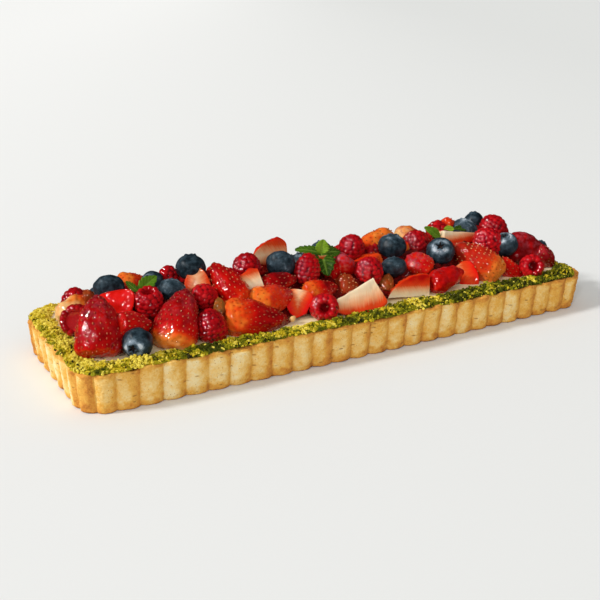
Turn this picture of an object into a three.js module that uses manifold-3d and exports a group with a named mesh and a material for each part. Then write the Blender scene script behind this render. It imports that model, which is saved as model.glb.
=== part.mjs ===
// A long mixed berry tart: a fluted pastry case filled with cream, a border of chopped pistachio
// and a heap of strawberries, raspberries, blueberries and mint sprigs.
// Millimetres, +Z up. The origin is the middle of the underside, and the long side lies along X.
import * as THREE from "three";
import { mergeVertices } from "three/addons/utils/BufferGeometryUtils.js";
import Module from "manifold-3d";

const wasm = await Module();
wasm.setup();

// Driving dimensions of the pastry case
const CASE_LENGTH = 350;
const CASE_WIDTH = 110.7;
const CASE_HEIGHT = 23;
const CORNER_RADIUS = 18;
const SIDE_BOW = 1.8;
const FLUTES = 69;
const FLUTE_DEPTH = 2.2;
const FIRST_VALLEY_X = -154.8;
const WALL = 4.6;
const FLOOR = 4;
const FOOT_INSET = 1.7;
const EDGE_ROUND = 0.9;
const RIM_DIP = 0.6;

// Clearance between pieces that touch, and the level that the fruit stands on
const GAP = 0.3;
const BED_LEVEL = CASE_HEIGHT + GAP;

// Border of chopped nuts
const CRUMB_COLUMNS = 84;
const CRUMB_RISE = 2.4;
const CRUMB_OUTER_SCATTER = 0.9;
const CRUMB_INNER_SCATTER = 1.4;
const CRUMB_JITTER = 1.6;
// Insets of the border's outer and inner edge at places along X. Down the back the inner edge runs
// level.
const CRUMB_OUTER_EDGE = [
  [-175, 1.4],
  [158, 1.4],
  [170, 4.6],
];
const CRUMB_INNER_EDGE = [
  [-150, 14.2],
  [-143, 10.8],
  [-60, 10.8],
  [0, 11.4],
  [30, 14.2],
];
const CRUMB_BACK_EDGE = 10.8;
const CRUMB_BACK_FROM = 30;
// Where the rows of the border lie between its outer and inner foot, and how high each one is
const CRUMB_SHARES = [0, 0.05, 0.36, 0.7, 1, 1];
const CRUMB_HEIGHTS = [0, 0.7, 1, 1, 0.8, 0];

// Mound under the loose fruit
const MOUND_LENGTH = 312;
const MOUND_WIDTH = 60;
const MOUND_BACK = 9;
const MOUND_RISE = 14;
const MOUND_SIDES = 16;
const MOUND_LEVELS = [0, 0.5, 1];
const MOUND_TOP_SHRINK = 0.75;
const MOUND_END_SLOPE = 20;
const MOUND_CORNER = 0.45;

// How finely each kind of fruit is cut into faces
const BLUEBERRY_SIDES = 8;
const RASPBERRY_SIDES = 10;
const STRAWBERRY_SIDES = 8;
const ROUGH_SIDES = 6;
const ROUGH_GROWTH = 0.18;

// Seeded random numbers, so that every build gives the same tart
function randomFrom(seed) {
  let state = seed;
  return function next() {
    state = (state * 1664525 + 1013904223) % 4294967296;
    return state / 4294967296;
  };
}

// Solids and meshes

function solidOf(positions, triangles) {
  const made = new wasm.Manifold(
    new wasm.Mesh({
      numProp: 3,
      vertProperties: new Float32Array(positions),
      triVerts: new Uint32Array(triangles),
    }),
  );
  return made;
}

function geometryOf(solid) {
  const mesh = solid.getMesh();
  const geometry = new THREE.BufferGeometry();
  const points = new Float32Array(mesh.vertProperties);
  geometry.setAttribute("position", new THREE.BufferAttribute(points, 3));
  geometry.setIndex([...mesh.triVerts]);
  const flat = geometry.toNonIndexed();
  flat.computeVertexNormals();
  return flat;
}

function largestPiece(solid) {
  const pieces = solid.decompose();
  pieces.sort((a, b) => b.volume() - a.volume());
  return pieces[0];
}

// A solid from rings of points: each ring has the same count and lies above the last one, and the
// first and last rings are closed by a fan to their middle.
function solidOfRings(rings) {
  const count = rings[0].length;
  const positions = rings.flat(2);
  const triangles = [];
  for (let ring = 0; ring + 1 < rings.length; ring += 1) {
    for (let i = 0; i < count; i += 1) {
      const a = ring * count + i;
      const b = ring * count + ((i + 1) % count);
      triangles.push(a, b, b + count, a, b + count, a + count);
    }
  }
  addFan(positions, triangles, 0, count, true);
  addFan(positions, triangles, (rings.length - 1) * count, count, false);
  return solidOf(positions, triangles);
}

function addFan(positions, triangles, start, count, facesDown) {
  const middle = [0, 0, 0];
  for (let i = 0; i < count; i += 1) {
    for (let k = 0; k < 3; k += 1) {
      middle[k] += positions[(start + i) * 3 + k] / count;
    }
  }
  const centre = positions.length / 3;
  positions.push(...middle);
  for (let i = 0; i < count; i += 1) {
    const a = start + i;
    const b = start + ((i + 1) % count);
    if (facesDown) {
      triangles.push(b, a, centre);
    } else {
      triangles.push(a, b, centre);
    }
  }
}

// Outline of the case: a rectangle with round corners whose long sides bow out a little, walked
// counter-clockwise from the first valley of the front side. Returns the point and its outward
// normal at the distance s, for an outline drawn in by inset.

const STRAIGHT_X = CASE_LENGTH - 2 * CORNER_RADIUS;
const STRAIGHT_Y = CASE_WIDTH - 2 * CORNER_RADIUS;
const QUARTER = (Math.PI / 2) * CORNER_RADIUS;
const PERIMETER = 2 * STRAIGHT_X + 2 * STRAIGHT_Y + 4 * QUARTER;

function outlineAt(distance, inset) {
  const start = FIRST_VALLEY_X + STRAIGHT_X / 2;
  let s = (distance + start + PERIMETER) % PERIMETER;
  const lengths = [STRAIGHT_X, QUARTER, STRAIGHT_Y, QUARTER, STRAIGHT_X, QUARTER, STRAIGHT_Y, QUARTER];
  let leg = 0;
  while (leg < 7 && s > lengths[leg]) {
    s -= lengths[leg];
    leg += 1;
  }
  const turn = (leg >> 1) * (Math.PI / 2) - Math.PI / 2;
  const halfX = STRAIGHT_X / 2;
  const halfY = STRAIGHT_Y / 2;
  const corners = [
    [halfX, -halfY],
    [halfX, halfY],
    [-halfX, halfY],
    [-halfX, -halfY],
  ];
  const corner = corners[leg >> 1];
  let angle = turn;
  let back = 0;
  if (leg % 2 === 0) {
    back = lengths[leg] - s;
  } else {
    angle += s / CORNER_RADIUS;
  }
  const normal = [Math.cos(angle), Math.sin(angle)];
  const reach = CORNER_RADIUS - inset;
  let x = corner[0] + reach * normal[0] + back * normal[1];
  let y = corner[1] + reach * normal[1] - back * normal[0];
  const along = Math.min(1, Math.abs(x) / halfX);
  y += Math.sign(y) * SIDE_BOW * (1 - along * along);
  return { x, y, normal };
}

// One ring of the case's outline at height z. pointsPerFlute 1 gives a plain outline.
function outlineRing(pointsPerFlute, inset, depth, z) {
  const ring = [];
  const count = FLUTES * pointsPerFlute;
  for (let i = 0; i < count; i += 1) {
    const inValley = i % pointsPerFlute === 0;
    const drawn = inset + (inValley ? depth : 0);
    const at = outlineAt((i / count) * PERIMETER, drawn);
    ring.push([at.x, at.y, typeof z === "function" ? z(i) : z]);
  }
  return ring;
}

// Pastry case: fluted wall that leans out towards the rim, flat base, open tray inside
function pastryCase() {
  const random = randomFrom(11);
  const dips = Array.from({ length: FLUTES * 3 }, () => RIM_DIP * random());
  const rimHeight = (i) => CASE_HEIGHT - dips[i];
  const outside = solidOfRings([
    outlineRing(3, FOOT_INSET, FLUTE_DEPTH, 0),
    outlineRing(3, 0, FLUTE_DEPTH, CASE_HEIGHT - 2 * EDGE_ROUND),
    outlineRing(3, EDGE_ROUND, FLUTE_DEPTH, rimHeight),
  ]);
  const inset = FLUTE_DEPTH + WALL;
  const inside = solidOfRings([
    outlineRing(1, inset + FOOT_INSET, 0, FLOOR),
    outlineRing(1, inset, 0, CASE_HEIGHT + 5),
  ]);
  return outside.subtract(inside);
}

// Cream: fills the case to the rim
function creamFilling() {
  const inset = FLUTE_DEPTH + WALL + GAP;
  return solidOfRings([
    outlineRing(1, inset + FOOT_INSET, 0, FLOOR + GAP),
    outlineRing(1, inset + 0.1, 0, CASE_HEIGHT),
  ]);
}

// The value at x of a list of [x, value], level beyond its ends
function valueAt(list, x) {
  const next = list.findIndex((entry) => entry[0] >= x);
  if (next <= 0) {
    return next === 0 ? list[0][1] : list[list.length - 1][1];
  }
  const [fromX, from] = list[next - 1];
  const [toX, to] = list[next];
  return from + ((to - from) * (x - fromX)) / (toX - fromX);
}

// Border of chopped pistachio: a lumpy band over the rim and the edge of the cream. Each column
// crosses the band from its outer foot to its inner foot.
function pistachioBorder() {
  const random = randomFrom(23);
  const positions = [];
  const rows = CRUMB_SHARES.length;
  for (let i = 0; i < CRUMB_COLUMNS; i += 1) {
    const s = (i / CRUMB_COLUMNS) * PERIMETER;
    const { x, y } = outlineAt(s, 0);
    const atBack = Math.min(Math.max(y / CRUMB_BACK_FROM, 0), 1);
    const outer = valueAt(CRUMB_OUTER_EDGE, x) + CRUMB_OUTER_SCATTER * random();
    const front = valueAt(CRUMB_INNER_EDGE, x);
    const inner = front + (CRUMB_BACK_EDGE - front) * atBack + CRUMB_INNER_SCATTER * random();
    for (let k = 0; k < rows; k += 1) {
      const onTop = CRUMB_HEIGHTS[k] === 1;
      const jitter = onTop ? CRUMB_JITTER * (random() - 0.5) : 0;
      const at = outlineAt(s + jitter, outer + (inner - outer) * CRUMB_SHARES[k] + jitter);
      const lump = 0.55 + 0.75 * random();
      positions.push(at.x, at.y, BED_LEVEL + CRUMB_RISE * CRUMB_HEIGHTS[k] * lump);
    }
  }
  const triangles = [];
  for (let i = 0; i < CRUMB_COLUMNS; i += 1) {
    for (let k = 0; k < rows; k += 1) {
      const a = i * rows + k;
      const b = i * rows + ((k + 1) % rows);
      const next = ((i + 1) % CRUMB_COLUMNS) * rows;
      const c = next + ((k + 1) % rows);
      const d = next + k;
      triangles.push(a, d, c, a, c, b);
    }
  }
  return solidOf(positions, triangles);
}

// A frame for a fruit: axis along base to tip, side towards out, depth square to both
function frameFrom(axis, face, out) {
  const a = axis.clone().normalize();
  let side;
  if (out) {
    side = new THREE.Vector3(...out);
  } else {
    side = new THREE.Vector3().crossVectors(a, new THREE.Vector3(...face));
  }
  side.addScaledVector(a, -side.dot(a)).normalize();
  const depth = new THREE.Vector3().crossVectors(a, side);
  if (face && depth.dot(new THREE.Vector3(...face)) > 0) {
    depth.negate();
  }
  return { a, side, depth };
}

// Strawberry profile: the part of the full half-width at each share of the length. The shoulder is
// a flat cut where the stalk was, the widest place is at a quarter, and the tip is blunt.
const STRAWBERRY_SHARES = [0, 0.15, 0.45, 0.75, 0.94];
const STRAWBERRY_ROUGH_SHARES = [0, 0.3, 0.76];
const STRAWBERRY_WIDEST = 0.25;
const STRAWBERRY_SHOULDER_DROP = 0.3;
const STRAWBERRY_BLUNTNESS = 0.72;
const SHORTEST_STEP = 0.02;

function strawberryWidth(share) {
  if (share < STRAWBERRY_WIDEST) {
    return 1 - STRAWBERRY_SHOULDER_DROP * (1 - share / STRAWBERRY_WIDEST) ** 2;
  }
  const u = (share - STRAWBERRY_WIDEST) / (1 - STRAWBERRY_WIDEST);
  return (1 - u * u) ** STRAWBERRY_BLUNTNESS;
}

// Strawberry, whole (sector 360) or cut along its axis to a half or a quarter. The first cut looks
// towards face and its skin lies towards out. trim gives the shares of the length that are left when
// its ends are sliced off.
function strawberry(piece, grow, rough) {
  const base = new THREE.Vector3(...piece.base);
  const tip = new THREE.Vector3(...piece.tip);
  const axis = tip.clone().sub(base);
  const length = axis.length();
  const face = piece.face ?? [-0.44, -0.81, 0.38];
  const { a, side, depth } = frameFrom(axis, face, piece.out);
  const sector = ((piece.sector ?? 360) * Math.PI) / 180;
  const whole = sector > 1.5 * Math.PI;
  const quarter = sector < 0.75 * Math.PI;
  const [first, last] = piece.trim ?? [0, 1];
  const between = (rough ? STRAWBERRY_ROUGH_SHARES : STRAWBERRY_SHARES).filter(
    (share) => share > first + SHORTEST_STEP && share < last - SHORTEST_STEP,
  );
  const shares = last < 1 ? [first, ...between, last] : [first, ...between];
  const sides = rough ? ROUGH_SIDES : STRAWBERRY_SIDES;
  const steps = whole ? sides : Math.max(2, Math.round((sides * sector) / (2 * Math.PI)) + 1);
  const halfWidth = piece.width / 2 + grow;
  const rings = [];
  for (const share of shares) {
    const radius = halfWidth * strawberryWidth(share);
    const reached = (share - first) / (last - first);
    const along = first * length - grow + ((last - first) * length + 2 * grow) * reached;
    const ring = [];
    const points = whole ? steps : steps + 1;
    for (let i = 0; i < points; i += 1) {
      const c = Math.cos((i / steps) * sector);
      const s = Math.sin((i / steps) * sector);
      // a cut face moves out by the growth too
      const x = quarter ? radius * c - grow * (1 - c) : radius * c;
      const y = whole ? radius * s : radius * s - grow * (1 - s);
      ring.push(pointOn(base, a, side, depth, along, x, y));
    }
    if (!whole) {
      ring.push(pointOn(base, a, side, depth, along, quarter ? -grow : 0, -grow));
    }
    rings.push(ring);
  }
  const end = last < 1 ? middleOf(rings[rings.length - 1]) : base.addScaledVector(a, length + grow);
  return closeTowards(rings, end);
}

function middleOf(ring) {
  const middle = new THREE.Vector3();
  for (const point of ring) {
    middle.addScaledVector(new THREE.Vector3(...point), 1 / ring.length);
  }
  return middle;
}

function pointOn(base, a, side, depth, along, x, y) {
  return [
    base.x + a.x * along + side.x * x + depth.x * y,
    base.y + a.y * along + side.y * x + depth.y * y,
    base.z + a.z * along + side.z * x + depth.z * y,
  ];
}

// Closes a stack of rings by a fan at the base and a point at the tip, whichever way they wind
function closeTowards(rings, tip) {
  const count = rings[0].length;
  const positions = rings.flat(2);
  const triangles = [];
  for (let ring = 0; ring + 1 < rings.length; ring += 1) {
    for (let i = 0; i < count; i += 1) {
      const a = ring * count + i;
      const b = ring * count + ((i + 1) % count);
      triangles.push(a, b, b + count, a, b + count, a + count);
    }
  }
  addFan(positions, triangles, 0, count, true);
  const last = (rings.length - 1) * count;
  const end = positions.length / 3;
  positions.push(tip.x, tip.y, tip.z);
  for (let i = 0; i < count; i += 1) {
    triangles.push(last + i, last + ((i + 1) % count), end);
  }
  const solid = solidOf(positions, triangles);
  if (solid.volume() > 0) {
    return solid;
  }
  for (let i = 0; i < triangles.length; i += 3) {
    [triangles[i + 1], triangles[i + 2]] = [triangles[i + 2], triangles[i + 1]];
  }
  return solidOf(positions, triangles);
}

// Rings round an axis from a list of [share of length, share of half-width]
function turned(piece, profile, sides, grow, bump) {
  const up = new THREE.Vector3(...piece.axis);
  const { a, side, depth } = frameFrom(up, [0.31, 0.95, 0.05], null);
  const centre = new THREE.Vector3(...piece.at);
  const half = piece.height / 2 + grow;
  const radius = piece.width / 2 + grow;
  const rings = profile.slice(1, -1).map(([along, out], j) => {
    const ring = [];
    for (let i = 0; i < sides; i += 1) {
      const angle = ((i + (j % 2) * 0.5) / sides) * 2 * Math.PI;
      const puff = 1 + bump * ((i + j) % 2 ? 1 : -1);
      const r = radius * out * puff;
      ring.push(pointOn(centre, a, side, depth, half * along, r * Math.cos(angle), r * Math.sin(angle)));
    }
    return ring;
  });
  const end = profile[profile.length - 1][0] * half;
  return closeTowards(rings, centre.clone().addScaledVector(a, end));
}

// Blueberry: a flattened ball whose crown is a raised ring round a dimple
const BLUEBERRY_PROFILE = [
  [-1, 0],
  [-0.55, 0.84],
  [0, 1],
  [0.52, 0.86],
  [0.86, 0.52],
  [1.0, 0.36],
  [0.8, 0.24],
  [0.76, 0],
];
const BALL_PROFILE = [
  [-1, 0],
  [-0.72, 0.72],
  [0, 1],
  [0.72, 0.72],
  [1, 0],
];

function blueberry(piece, grow, rough) {
  if (rough) {
    return turned(piece, BALL_PROFILE, ROUGH_SIDES, grow, 0);
  }
  return turned(piece, BLUEBERRY_PROFILE, BLUEBERRY_SIDES, grow, 0);
}

// Raspberry: a blunt cone of drupelets, open at its base where it left the plant
const RASPBERRY_PROFILE = [
  [-1, 0],
  [-0.95, 0.66],
  [-0.6, 0.96],
  [-0.1, 1],
  [0.4, 0.84],
  [0.8, 0.5],
  [1, 0],
];
const OPEN_RASPBERRY_PROFILE = [
  [0.1, 0],
  [0, 0.28],
  [-0.8, 0.42],
  [-1, 0.66],
  [-0.6, 0.98],
  [-0.05, 1],
  [0.5, 0.8],
  [0.88, 0.42],
  [1, 0],
];

// A shallow dish where the raspberry sits crushed on its side
const DISHED_RASPBERRY_PROFILE = [
  [-0.66, 0],
  [-0.7, 0.46],
  [-0.96, 0.76],
  [-0.6, 0.99],
  [-0.05, 1],
  [0.5, 0.8],
  [0.88, 0.42],
  [1, 0],
];
const ROUGH_RASPBERRY_PROFILE = [
  [-1, 0],
  [-0.95, 0.85],
  [-0.1, 1],
  [0.8, 0.66],
  [1, 0],
];
const RASPBERRY_PROFILES = {
  closed: RASPBERRY_PROFILE,
  open: OPEN_RASPBERRY_PROFILE,
  dished: DISHED_RASPBERRY_PROFILE,
};
const DRUPELET_PUFF = 0.055;

function raspberry(piece, grow, rough) {
  if (rough) {
    return turned(piece, ROUGH_RASPBERRY_PROFILE, ROUGH_SIDES, grow, 0);
  }
  return turned(piece, RASPBERRY_PROFILES[piece.form], RASPBERRY_SIDES, grow, DRUPELET_PUFF);
}

// Mint leaf: a thin wavy blade with a folded midrib, from its stalk end to its tip
const LEAF_STEPS = 4;
const LEAF_ACROSS = 2;
const LEAF_THICK = 0.9;

function mintLeaf(leaf, grow) {
  const base = new THREE.Vector3(...leaf.base);
  const tip = new THREE.Vector3(...leaf.tip);
  const axis = tip.clone().sub(base);
  const length = axis.length();
  const a = axis.normalize();
  const up = new THREE.Vector3(...leaf.up);
  up.addScaledVector(a, -up.dot(a)).normalize();
  const side = new THREE.Vector3().crossVectors(up, a);
  const grid = [];
  for (const layer of [-1, 1]) {
    for (let i = 0; i <= LEAF_STEPS; i += 1) {
      const u = i / LEAF_STEPS;
      const spread = grow + (leaf.width / 2) * (0.16 + 0.84 * Math.sin(Math.PI * u ** 0.85) ** 0.8);
      for (let k = 0; k <= LEAF_ACROSS; k += 1) {
        const v = (2 * k) / LEAF_ACROSS - 1;
        const fold = spread * (0.3 * Math.abs(v) + 0.15 * v * Math.sin(5 * u + leaf.width));
        const lift = leaf.curl * Math.sin(Math.PI * u) + fold;
        const half = LEAF_THICK / 2 + grow;
        const along = -grow + (length + 2 * grow) * u;
        grid.push(pointOn(base, a, side, up, along, spread * v, lift + layer * half));
      }
    }
  }
  return solidOf(grid.flat(), slabTriangles(LEAF_STEPS, LEAF_ACROSS));
}

// Triangles of a slab whose bottom grid comes first and whose top grid follows
function slabTriangles(steps, across) {
  const width = across + 1;
  const top = (steps + 1) * width;
  const triangles = [];
  for (let i = 0; i < steps; i += 1) {
    for (let k = 0; k < across; k += 1) {
      const a = i * width + k;
      const b = a + width;
      triangles.push(a, a + 1, b + 1, a, b + 1, b);
      triangles.push(top + a, top + b + 1, top + a + 1, top + a, top + b, top + b + 1);
    }
  }
  const rim = [];
  for (let i = 0; i < steps; i += 1) {
    rim.push(i * width);
  }
  for (let k = 0; k < across; k += 1) {
    rim.push(steps * width + k);
  }
  for (let i = steps; i > 0; i -= 1) {
    rim.push(i * width + across);
  }
  for (let k = across; k > 0; k -= 1) {
    rim.push(k);
  }
  rim.forEach((a, i) => {
    const b = rim[(i + 1) % rim.length];
    triangles.push(a, b, top + b, a, top + b, top + a);
  });
  return triangles;
}

function sprig(piece, grow) {
  const leaves = piece.leaves.map((leaf) => mintLeaf(leaf, grow));
  return leaves.reduce((all, leaf) => all.add(leaf));
}

// A ball-like berry at its centre, whose axis points to its crown or tip. form is how a raspberry's
// stalk end looks.
function berry(name, kind, at, width, height, axis, form = "closed") {
  return { name, kind, at, width, height, axis, form };
}

// A strawberry from base to tip. A cut one has a sector in degrees and the way its cut looks.
function wedge(name, base, tip, width, cut = {}) {
  return { name, kind: strawberry, base, tip, width, ...cut };
}

// The fruit that lies open on the front and the top, from the outermost inwards: each piece gives
// way to the ones before it. Places are rounded to half a millimetre.
const FRUIT = [
  { name: "mint_sprig_middle", kind: sprig, leaves: [
    { base: [-5, -6, 49.5], tip: [-19.5, 1, 52], width: 8, up: [0, -0.5, 1], curl: 1 },
    { base: [-5, -6, 49.5], tip: [-3.5, -6, 58.5], width: 8.5, up: [-0.4, -0.9, 0.2], curl: 0 },
    { base: [-5, -6, 49.5], tip: [8, -7, 49], width: 8, up: [-0.3, -0.7, 0.7], curl: 1 },
    { base: [-5, -6, 49.5], tip: [-8, -19, 39.5], width: 13, up: [-0.3, -0.7, 0.6], curl: 1.5 },
  ] },
  { name: "mint_sprig_left", kind: sprig, leaves: [
    { base: [-124, -8, 46], tip: [-111, -3, 51.5], width: 8, up: [-0.4, -0.75, 0.5], curl: 0.5 },
    { base: [-124, -8, 46], tip: [-129, -3, 51.5], width: 4, up: [-0.4, -0.8, 0.3], curl: 0 },
  ] },
  { name: "mint_leaf_right_1", kind: sprig, leaves: [
    { base: [91.5, 0, 44.5], tip: [79, 2, 53], width: 6.5, up: [-0.4, -0.7, 0.6], curl: 0.5 },
  ] },
  { name: "mint_leaf_right_2", kind: sprig, leaves: [
    { base: [105, 3, 48], tip: [120, 3, 45.5], width: 5, up: [-0.1, -0.6, 0.9], curl: 0.5 },
    { base: [105, 3, 48], tip: [96.5, 3, 49], width: 4.5, up: [-0.2, -0.6, 0.8], curl: 0 },
  ] },
  berry("blueberry_01", blueberry, [-137.5, -40, 30], 16.5, 16, [-0.66, -0.75, 0]),
  berry("blueberry_02", blueberry, [-136.5, 4, 46.5], 17.4, 13.6, [0.3, 0.8, 0.5]),
  berry("blueberry_03", blueberry, [-109.5, 8, 44], 14, 12.5, [-0.6, -0.4, 0.6]),
  berry("blueberry_04", blueberry, [-104, -8, 43.5], 16.6, 12.2, [0.4, 0.5, 0.8]),
  berry("blueberry_05", blueberry, [-87, 4, 51], 17.4, 14.8, [0.1, 0.3, 0.95]),
  berry("blueberry_06", blueberry, [-32.5, -5, 47], 17.6, 14, [0.5, 0.7, 0.4]),
  berry("blueberry_08", blueberry, [51, -2, 45], 18.4, 15.4, [0.15, 0.1, 0.95]),
  berry("blueberry_09", blueberry, [38, -22, 39], 16.4, 11.6, [0.2, 0.6, 0.7]),
  berry("blueberry_10", blueberry, [80, -15, 41], 18, 17.5, [-0.52, -0.56, 0.64]),
  berry("blueberry_11", blueberry, [118, 8, 45], 18, 13.5, [0.3, 0.2, 0.9]),
  berry("blueberry_12", blueberry, [137, 20, 45.5], 13, 12, [0.1, 0.4, 0.9]),
  berry("blueberry_13", blueberry, [130.5, -20, 39.5], 16.5, 15.5, [-0.4, -0.16, 0.9]),
  berry("blueberry_14", blueberry, [166.5, -15, 30], 12, 11.5, [0.6, 0.2, 0.7]),
  berry("raspberry_09", raspberry, [-23, -39, 29], 16.6, 15, [0.4, 0.85, -0.3], "open"),
  berry("raspberry_16", raspberry, [136, -39, 28.5], 15.6, 15, [0.44, 0.81, -0.38], "open"),
  berry("raspberry_06", raspberry, [-93.5, -37, 30.5], 16.6, 18.5, [-0.1, 0.3, 0.9]),
  berry("raspberry_05", raspberry, [-89, -17, 39.5], 15.6, 16, [-0.5, -0.4, 0.6]),
  berry("raspberry_03", raspberry, [-120, -14, 39.5], 15.6, 19, [0.1, 0.2, -0.95]),
  berry("raspberry_11", raspberry, [21, -20, 39], 17, 17.4, [-0.1, -0.3, 0.9]),
  berry("raspberry_08", raspberry, [-18, -12, 44], 15.4, 18, [0.2, 0.1, 0.95]),
  berry("raspberry_07", raspberry, [-53, -1, 48], 16.8, 15.4, [-0.2, -0.2, 0.9]),
  berry("raspberry_10", raspberry, [25, 5, 47], 16.6, 15, [0, -0.1, 0.95]),
  berry("raspberry_12", raspberry, [74, 3, 42.5], 18, 16, [-0.4, -0.5, 0.7]),
  berry("raspberry_14", raspberry, [119, -14, 41.5], 19.5, 20, [-0.5, -0.1, 0.8]),
  berry("raspberry_15", raspberry, [142, 5, 45], 19, 14, [0.4, -0.2, 0.8]),
  berry("raspberry_13", raspberry, [100, 14, 45], 15.4, 13, [0.1, 0.1, 0.9]),
  berry("raspberry_02", raspberry, [-156, 4, 31], 18, 14, [0.45, 0.8, -0.3], "dished"),
  berry("raspberry_01", raspberry, [-150.5, 24, 35], 15, 15, [0.2, 0.3, 0.9]),
  wedge("strawberry_02", [-155.5, -33, 22], [-150.5, -17, 52], 26),
  wedge("strawberry_07", [-118.5, -38, 19.5], [-99, -18, 47], 25),
  wedge("strawberry_10", [-85.5, -33, 32], [-43, -36.5, 22.5], 23),
  wedge("strawberry_19", [18, -35, 41.5], [-22.5, -41, 30], 36, {
    sector: 90, face: [-0.4, -0.9, 0.3], out: [0.3, -0.56, -0.77], trim: [0.12, 1],
  }),
  wedge("strawberry_20", [57, -40.5, 22.5], [23.5, -38, 26], 28, {
    sector: 90, face: [-0.3, -0.95, 0.2], out: [0.1, 0.2, 1], trim: [0.12, 1],
  }),
  wedge("strawberry_03", [-137.5, -7, 49], [-138, -15, 33.5], 21, {
    sector: 180, face: [-0.4, -0.8, 0.3],
  }),
  wedge("strawberry_04", [-145.5, -30, 37], [-124.5, -28, 34], 15),
  wedge("strawberry_09", [-66, -22, 31], [-77, -4, 54], 19.5),
  wedge("strawberry_06", [-88, -9, 39], [-87, -3, 53], 16, { sector: 180, face: [-0.4, -0.85, 0.35] }),
  wedge("strawberry_11", [-48.5, -17, 43], [-71, -16, 39.5], 19, {
    sector: 180, face: [-0.5, -0.75, 0.4], trim: [0.12, 0.72],
  }),
  wedge("strawberry_12", [-17.5, 13, 48.5], [-43.5, 9, 49], 17.5, {
    sector: 180, face: [-0.7, -0.6, 0.1],
  }),
  wedge("strawberry_15", [-32, -27, 38], [-40, -37, 25], 17, { sector: 180, face: [-0.4, -0.8, 0.5] }),
  wedge("strawberry_14", [-63.5, -27, 33.5], [-34.5, -24, 35.5], 18),
  wedge("strawberry_29", [56, -36, 28], [84, -34, 33], 15),
  wedge("strawberry_30", [86, -26, 34.5], [92, -39, 20.5], 16, {
    sector: 180, face: [-0.5, -0.7, 0.5],
  }),
  wedge("strawberry_28", [114, -35, 23.5], [92, -12, 43], 24),
  wedge("strawberry_31", [117.5, -27, 31], [130.5, -39, 22], 13),
  wedge("strawberry_32", [137.5, -14, 39], [165.5, -31, 19.5], 23),
  wedge("strawberry_33", [150, -26, 33], [163, -34, 24], 16),
  wedge("strawberry_24", [65, -22, 30], [54, -14, 42], 18),
  wedge("strawberry_16", [-27, -22, 31], [-2, -22, 32], 16),
  wedge("strawberry_21", [62, 14, 45], [33, 12, 43], 17),
  wedge("strawberry_26", [88.5, -2, 50.5], [130, -2, 42.5], 17, {
    sector: 90, face: [-0.3, -0.9, 0.3], out: [0.1, -0.3, -0.9], trim: [0.1, 1],
  }),
  wedge("strawberry_01", [-163.5, 10, 29], [-143, 16, 39], 17.5),
];

// The fruit that is joined to the mound: small pieces between the others, then two rows down the
// back that finish the heap like its front.
const SMALL_FRUIT = [
  wedge("joined", [-2, -20, 34], [13, -22, 28], 15),
  wedge("joined", [3, -8, 44], [17, -12, 36], 15),
  wedge("joined", [-127.5, 14, 43.5], [-108.5, 14, 42.5], 14),
  wedge("joined", [-50, -13, 37], [-26, -14, 40], 14),
  wedge("joined", [0, -8, 43], [3, -14, 31], 15),
  wedge("joined", [71, 20, 42], [91, 20, 42], 14),
  wedge("joined", [41, -5, 37.5], [20, -3, 37.5], 12),
  wedge("joined", [27, -30, 27], [33, -24, 36], 9),
  wedge("joined", [104.5, 14, 47.5], [115, 14, 48.5], 10),
  wedge("joined", [-132, 3, 43], [-122, 3, 43], 10),
  wedge("joined", [-149, 12, 40.5], [-142, 8, 42.5], 10),
  berry("joined", raspberry, [-97, 14, 44], 13, 12.5, [0.1, 0, 0.95]),
  berry("joined", raspberry, [-75, 5, 40], 13, 13, [0, 0, 1]),
  berry("joined", blueberry, [4, 8, 46], 14, 13, [0.2, 0.2, 0.9]),
  berry("joined", blueberry, [-11, 9, 40.5], 13, 12, [0, 0, 1]),
];
const BACK_ROWS = [
  { y: 34, z: 31, first: -143, last: 151, count: 14 },
  { y: 21, z: 34, first: -128, last: 144, count: 9 },
];

function backFruit() {
  const random = randomFrom(5);
  const kinds = [strawberry, raspberry, strawberry, blueberry, raspberry];
  const pieces = [];
  for (const row of BACK_ROWS) {
    for (let i = 0; i < row.count; i += 1) {
      const x = row.first + ((row.last - row.first) * i) / (row.count - 1) + 3 * (random() - 0.5);
      const y = row.y + 3 * (random() - 0.5);
      const z = row.z + 2 * (random() - 0.5);
      const kind = kinds[(i * 3 + (row.y > 30 ? 0 : 1)) % kinds.length];
      const turn = 2 * Math.PI * random();
      if (kind === strawberry) {
        const dx = 10 * Math.cos(turn);
        const dy = 3 * Math.sin(turn);
        pieces.push({ kind, base: [x - dx, y - dy, z - 2], tip: [x + dx, y + dy, z + 2], width: 17 });
      } else {
        const axis = [Math.cos(turn), Math.sin(turn), 0.8];
        const width = (kind === blueberry ? 15 : 16) + 1.5 * random();
        pieces.push({ kind, at: [x, y, z], width, height: width * 0.92, axis });
      }
    }
  }
  return pieces;
}

// Low mound of fruit under the open pieces, as a dome over a long round-cornered foot
function mound() {
  const rounded = (value) => Math.sign(value) * Math.abs(value) ** MOUND_CORNER;
  const rings = MOUND_LEVELS.map((level) => {
    const slope = MOUND_TOP_SHRINK * level ** 1.6;
    const halfX = MOUND_LENGTH / 2 - MOUND_END_SLOPE * slope;
    const halfY = (MOUND_WIDTH / 2) * (1 - slope);
    const ring = [];
    for (let i = 0; i < MOUND_SIDES; i += 1) {
      const angle = (i / MOUND_SIDES) * 2 * Math.PI;
      const x = halfX * rounded(Math.cos(angle));
      const y = halfY * rounded(Math.sin(angle));
      ring.push([x, y + MOUND_BACK, BED_LEVEL + MOUND_RISE * level]);
    }
    return ring;
  });
  return solidOfRings(rings);
}

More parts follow.
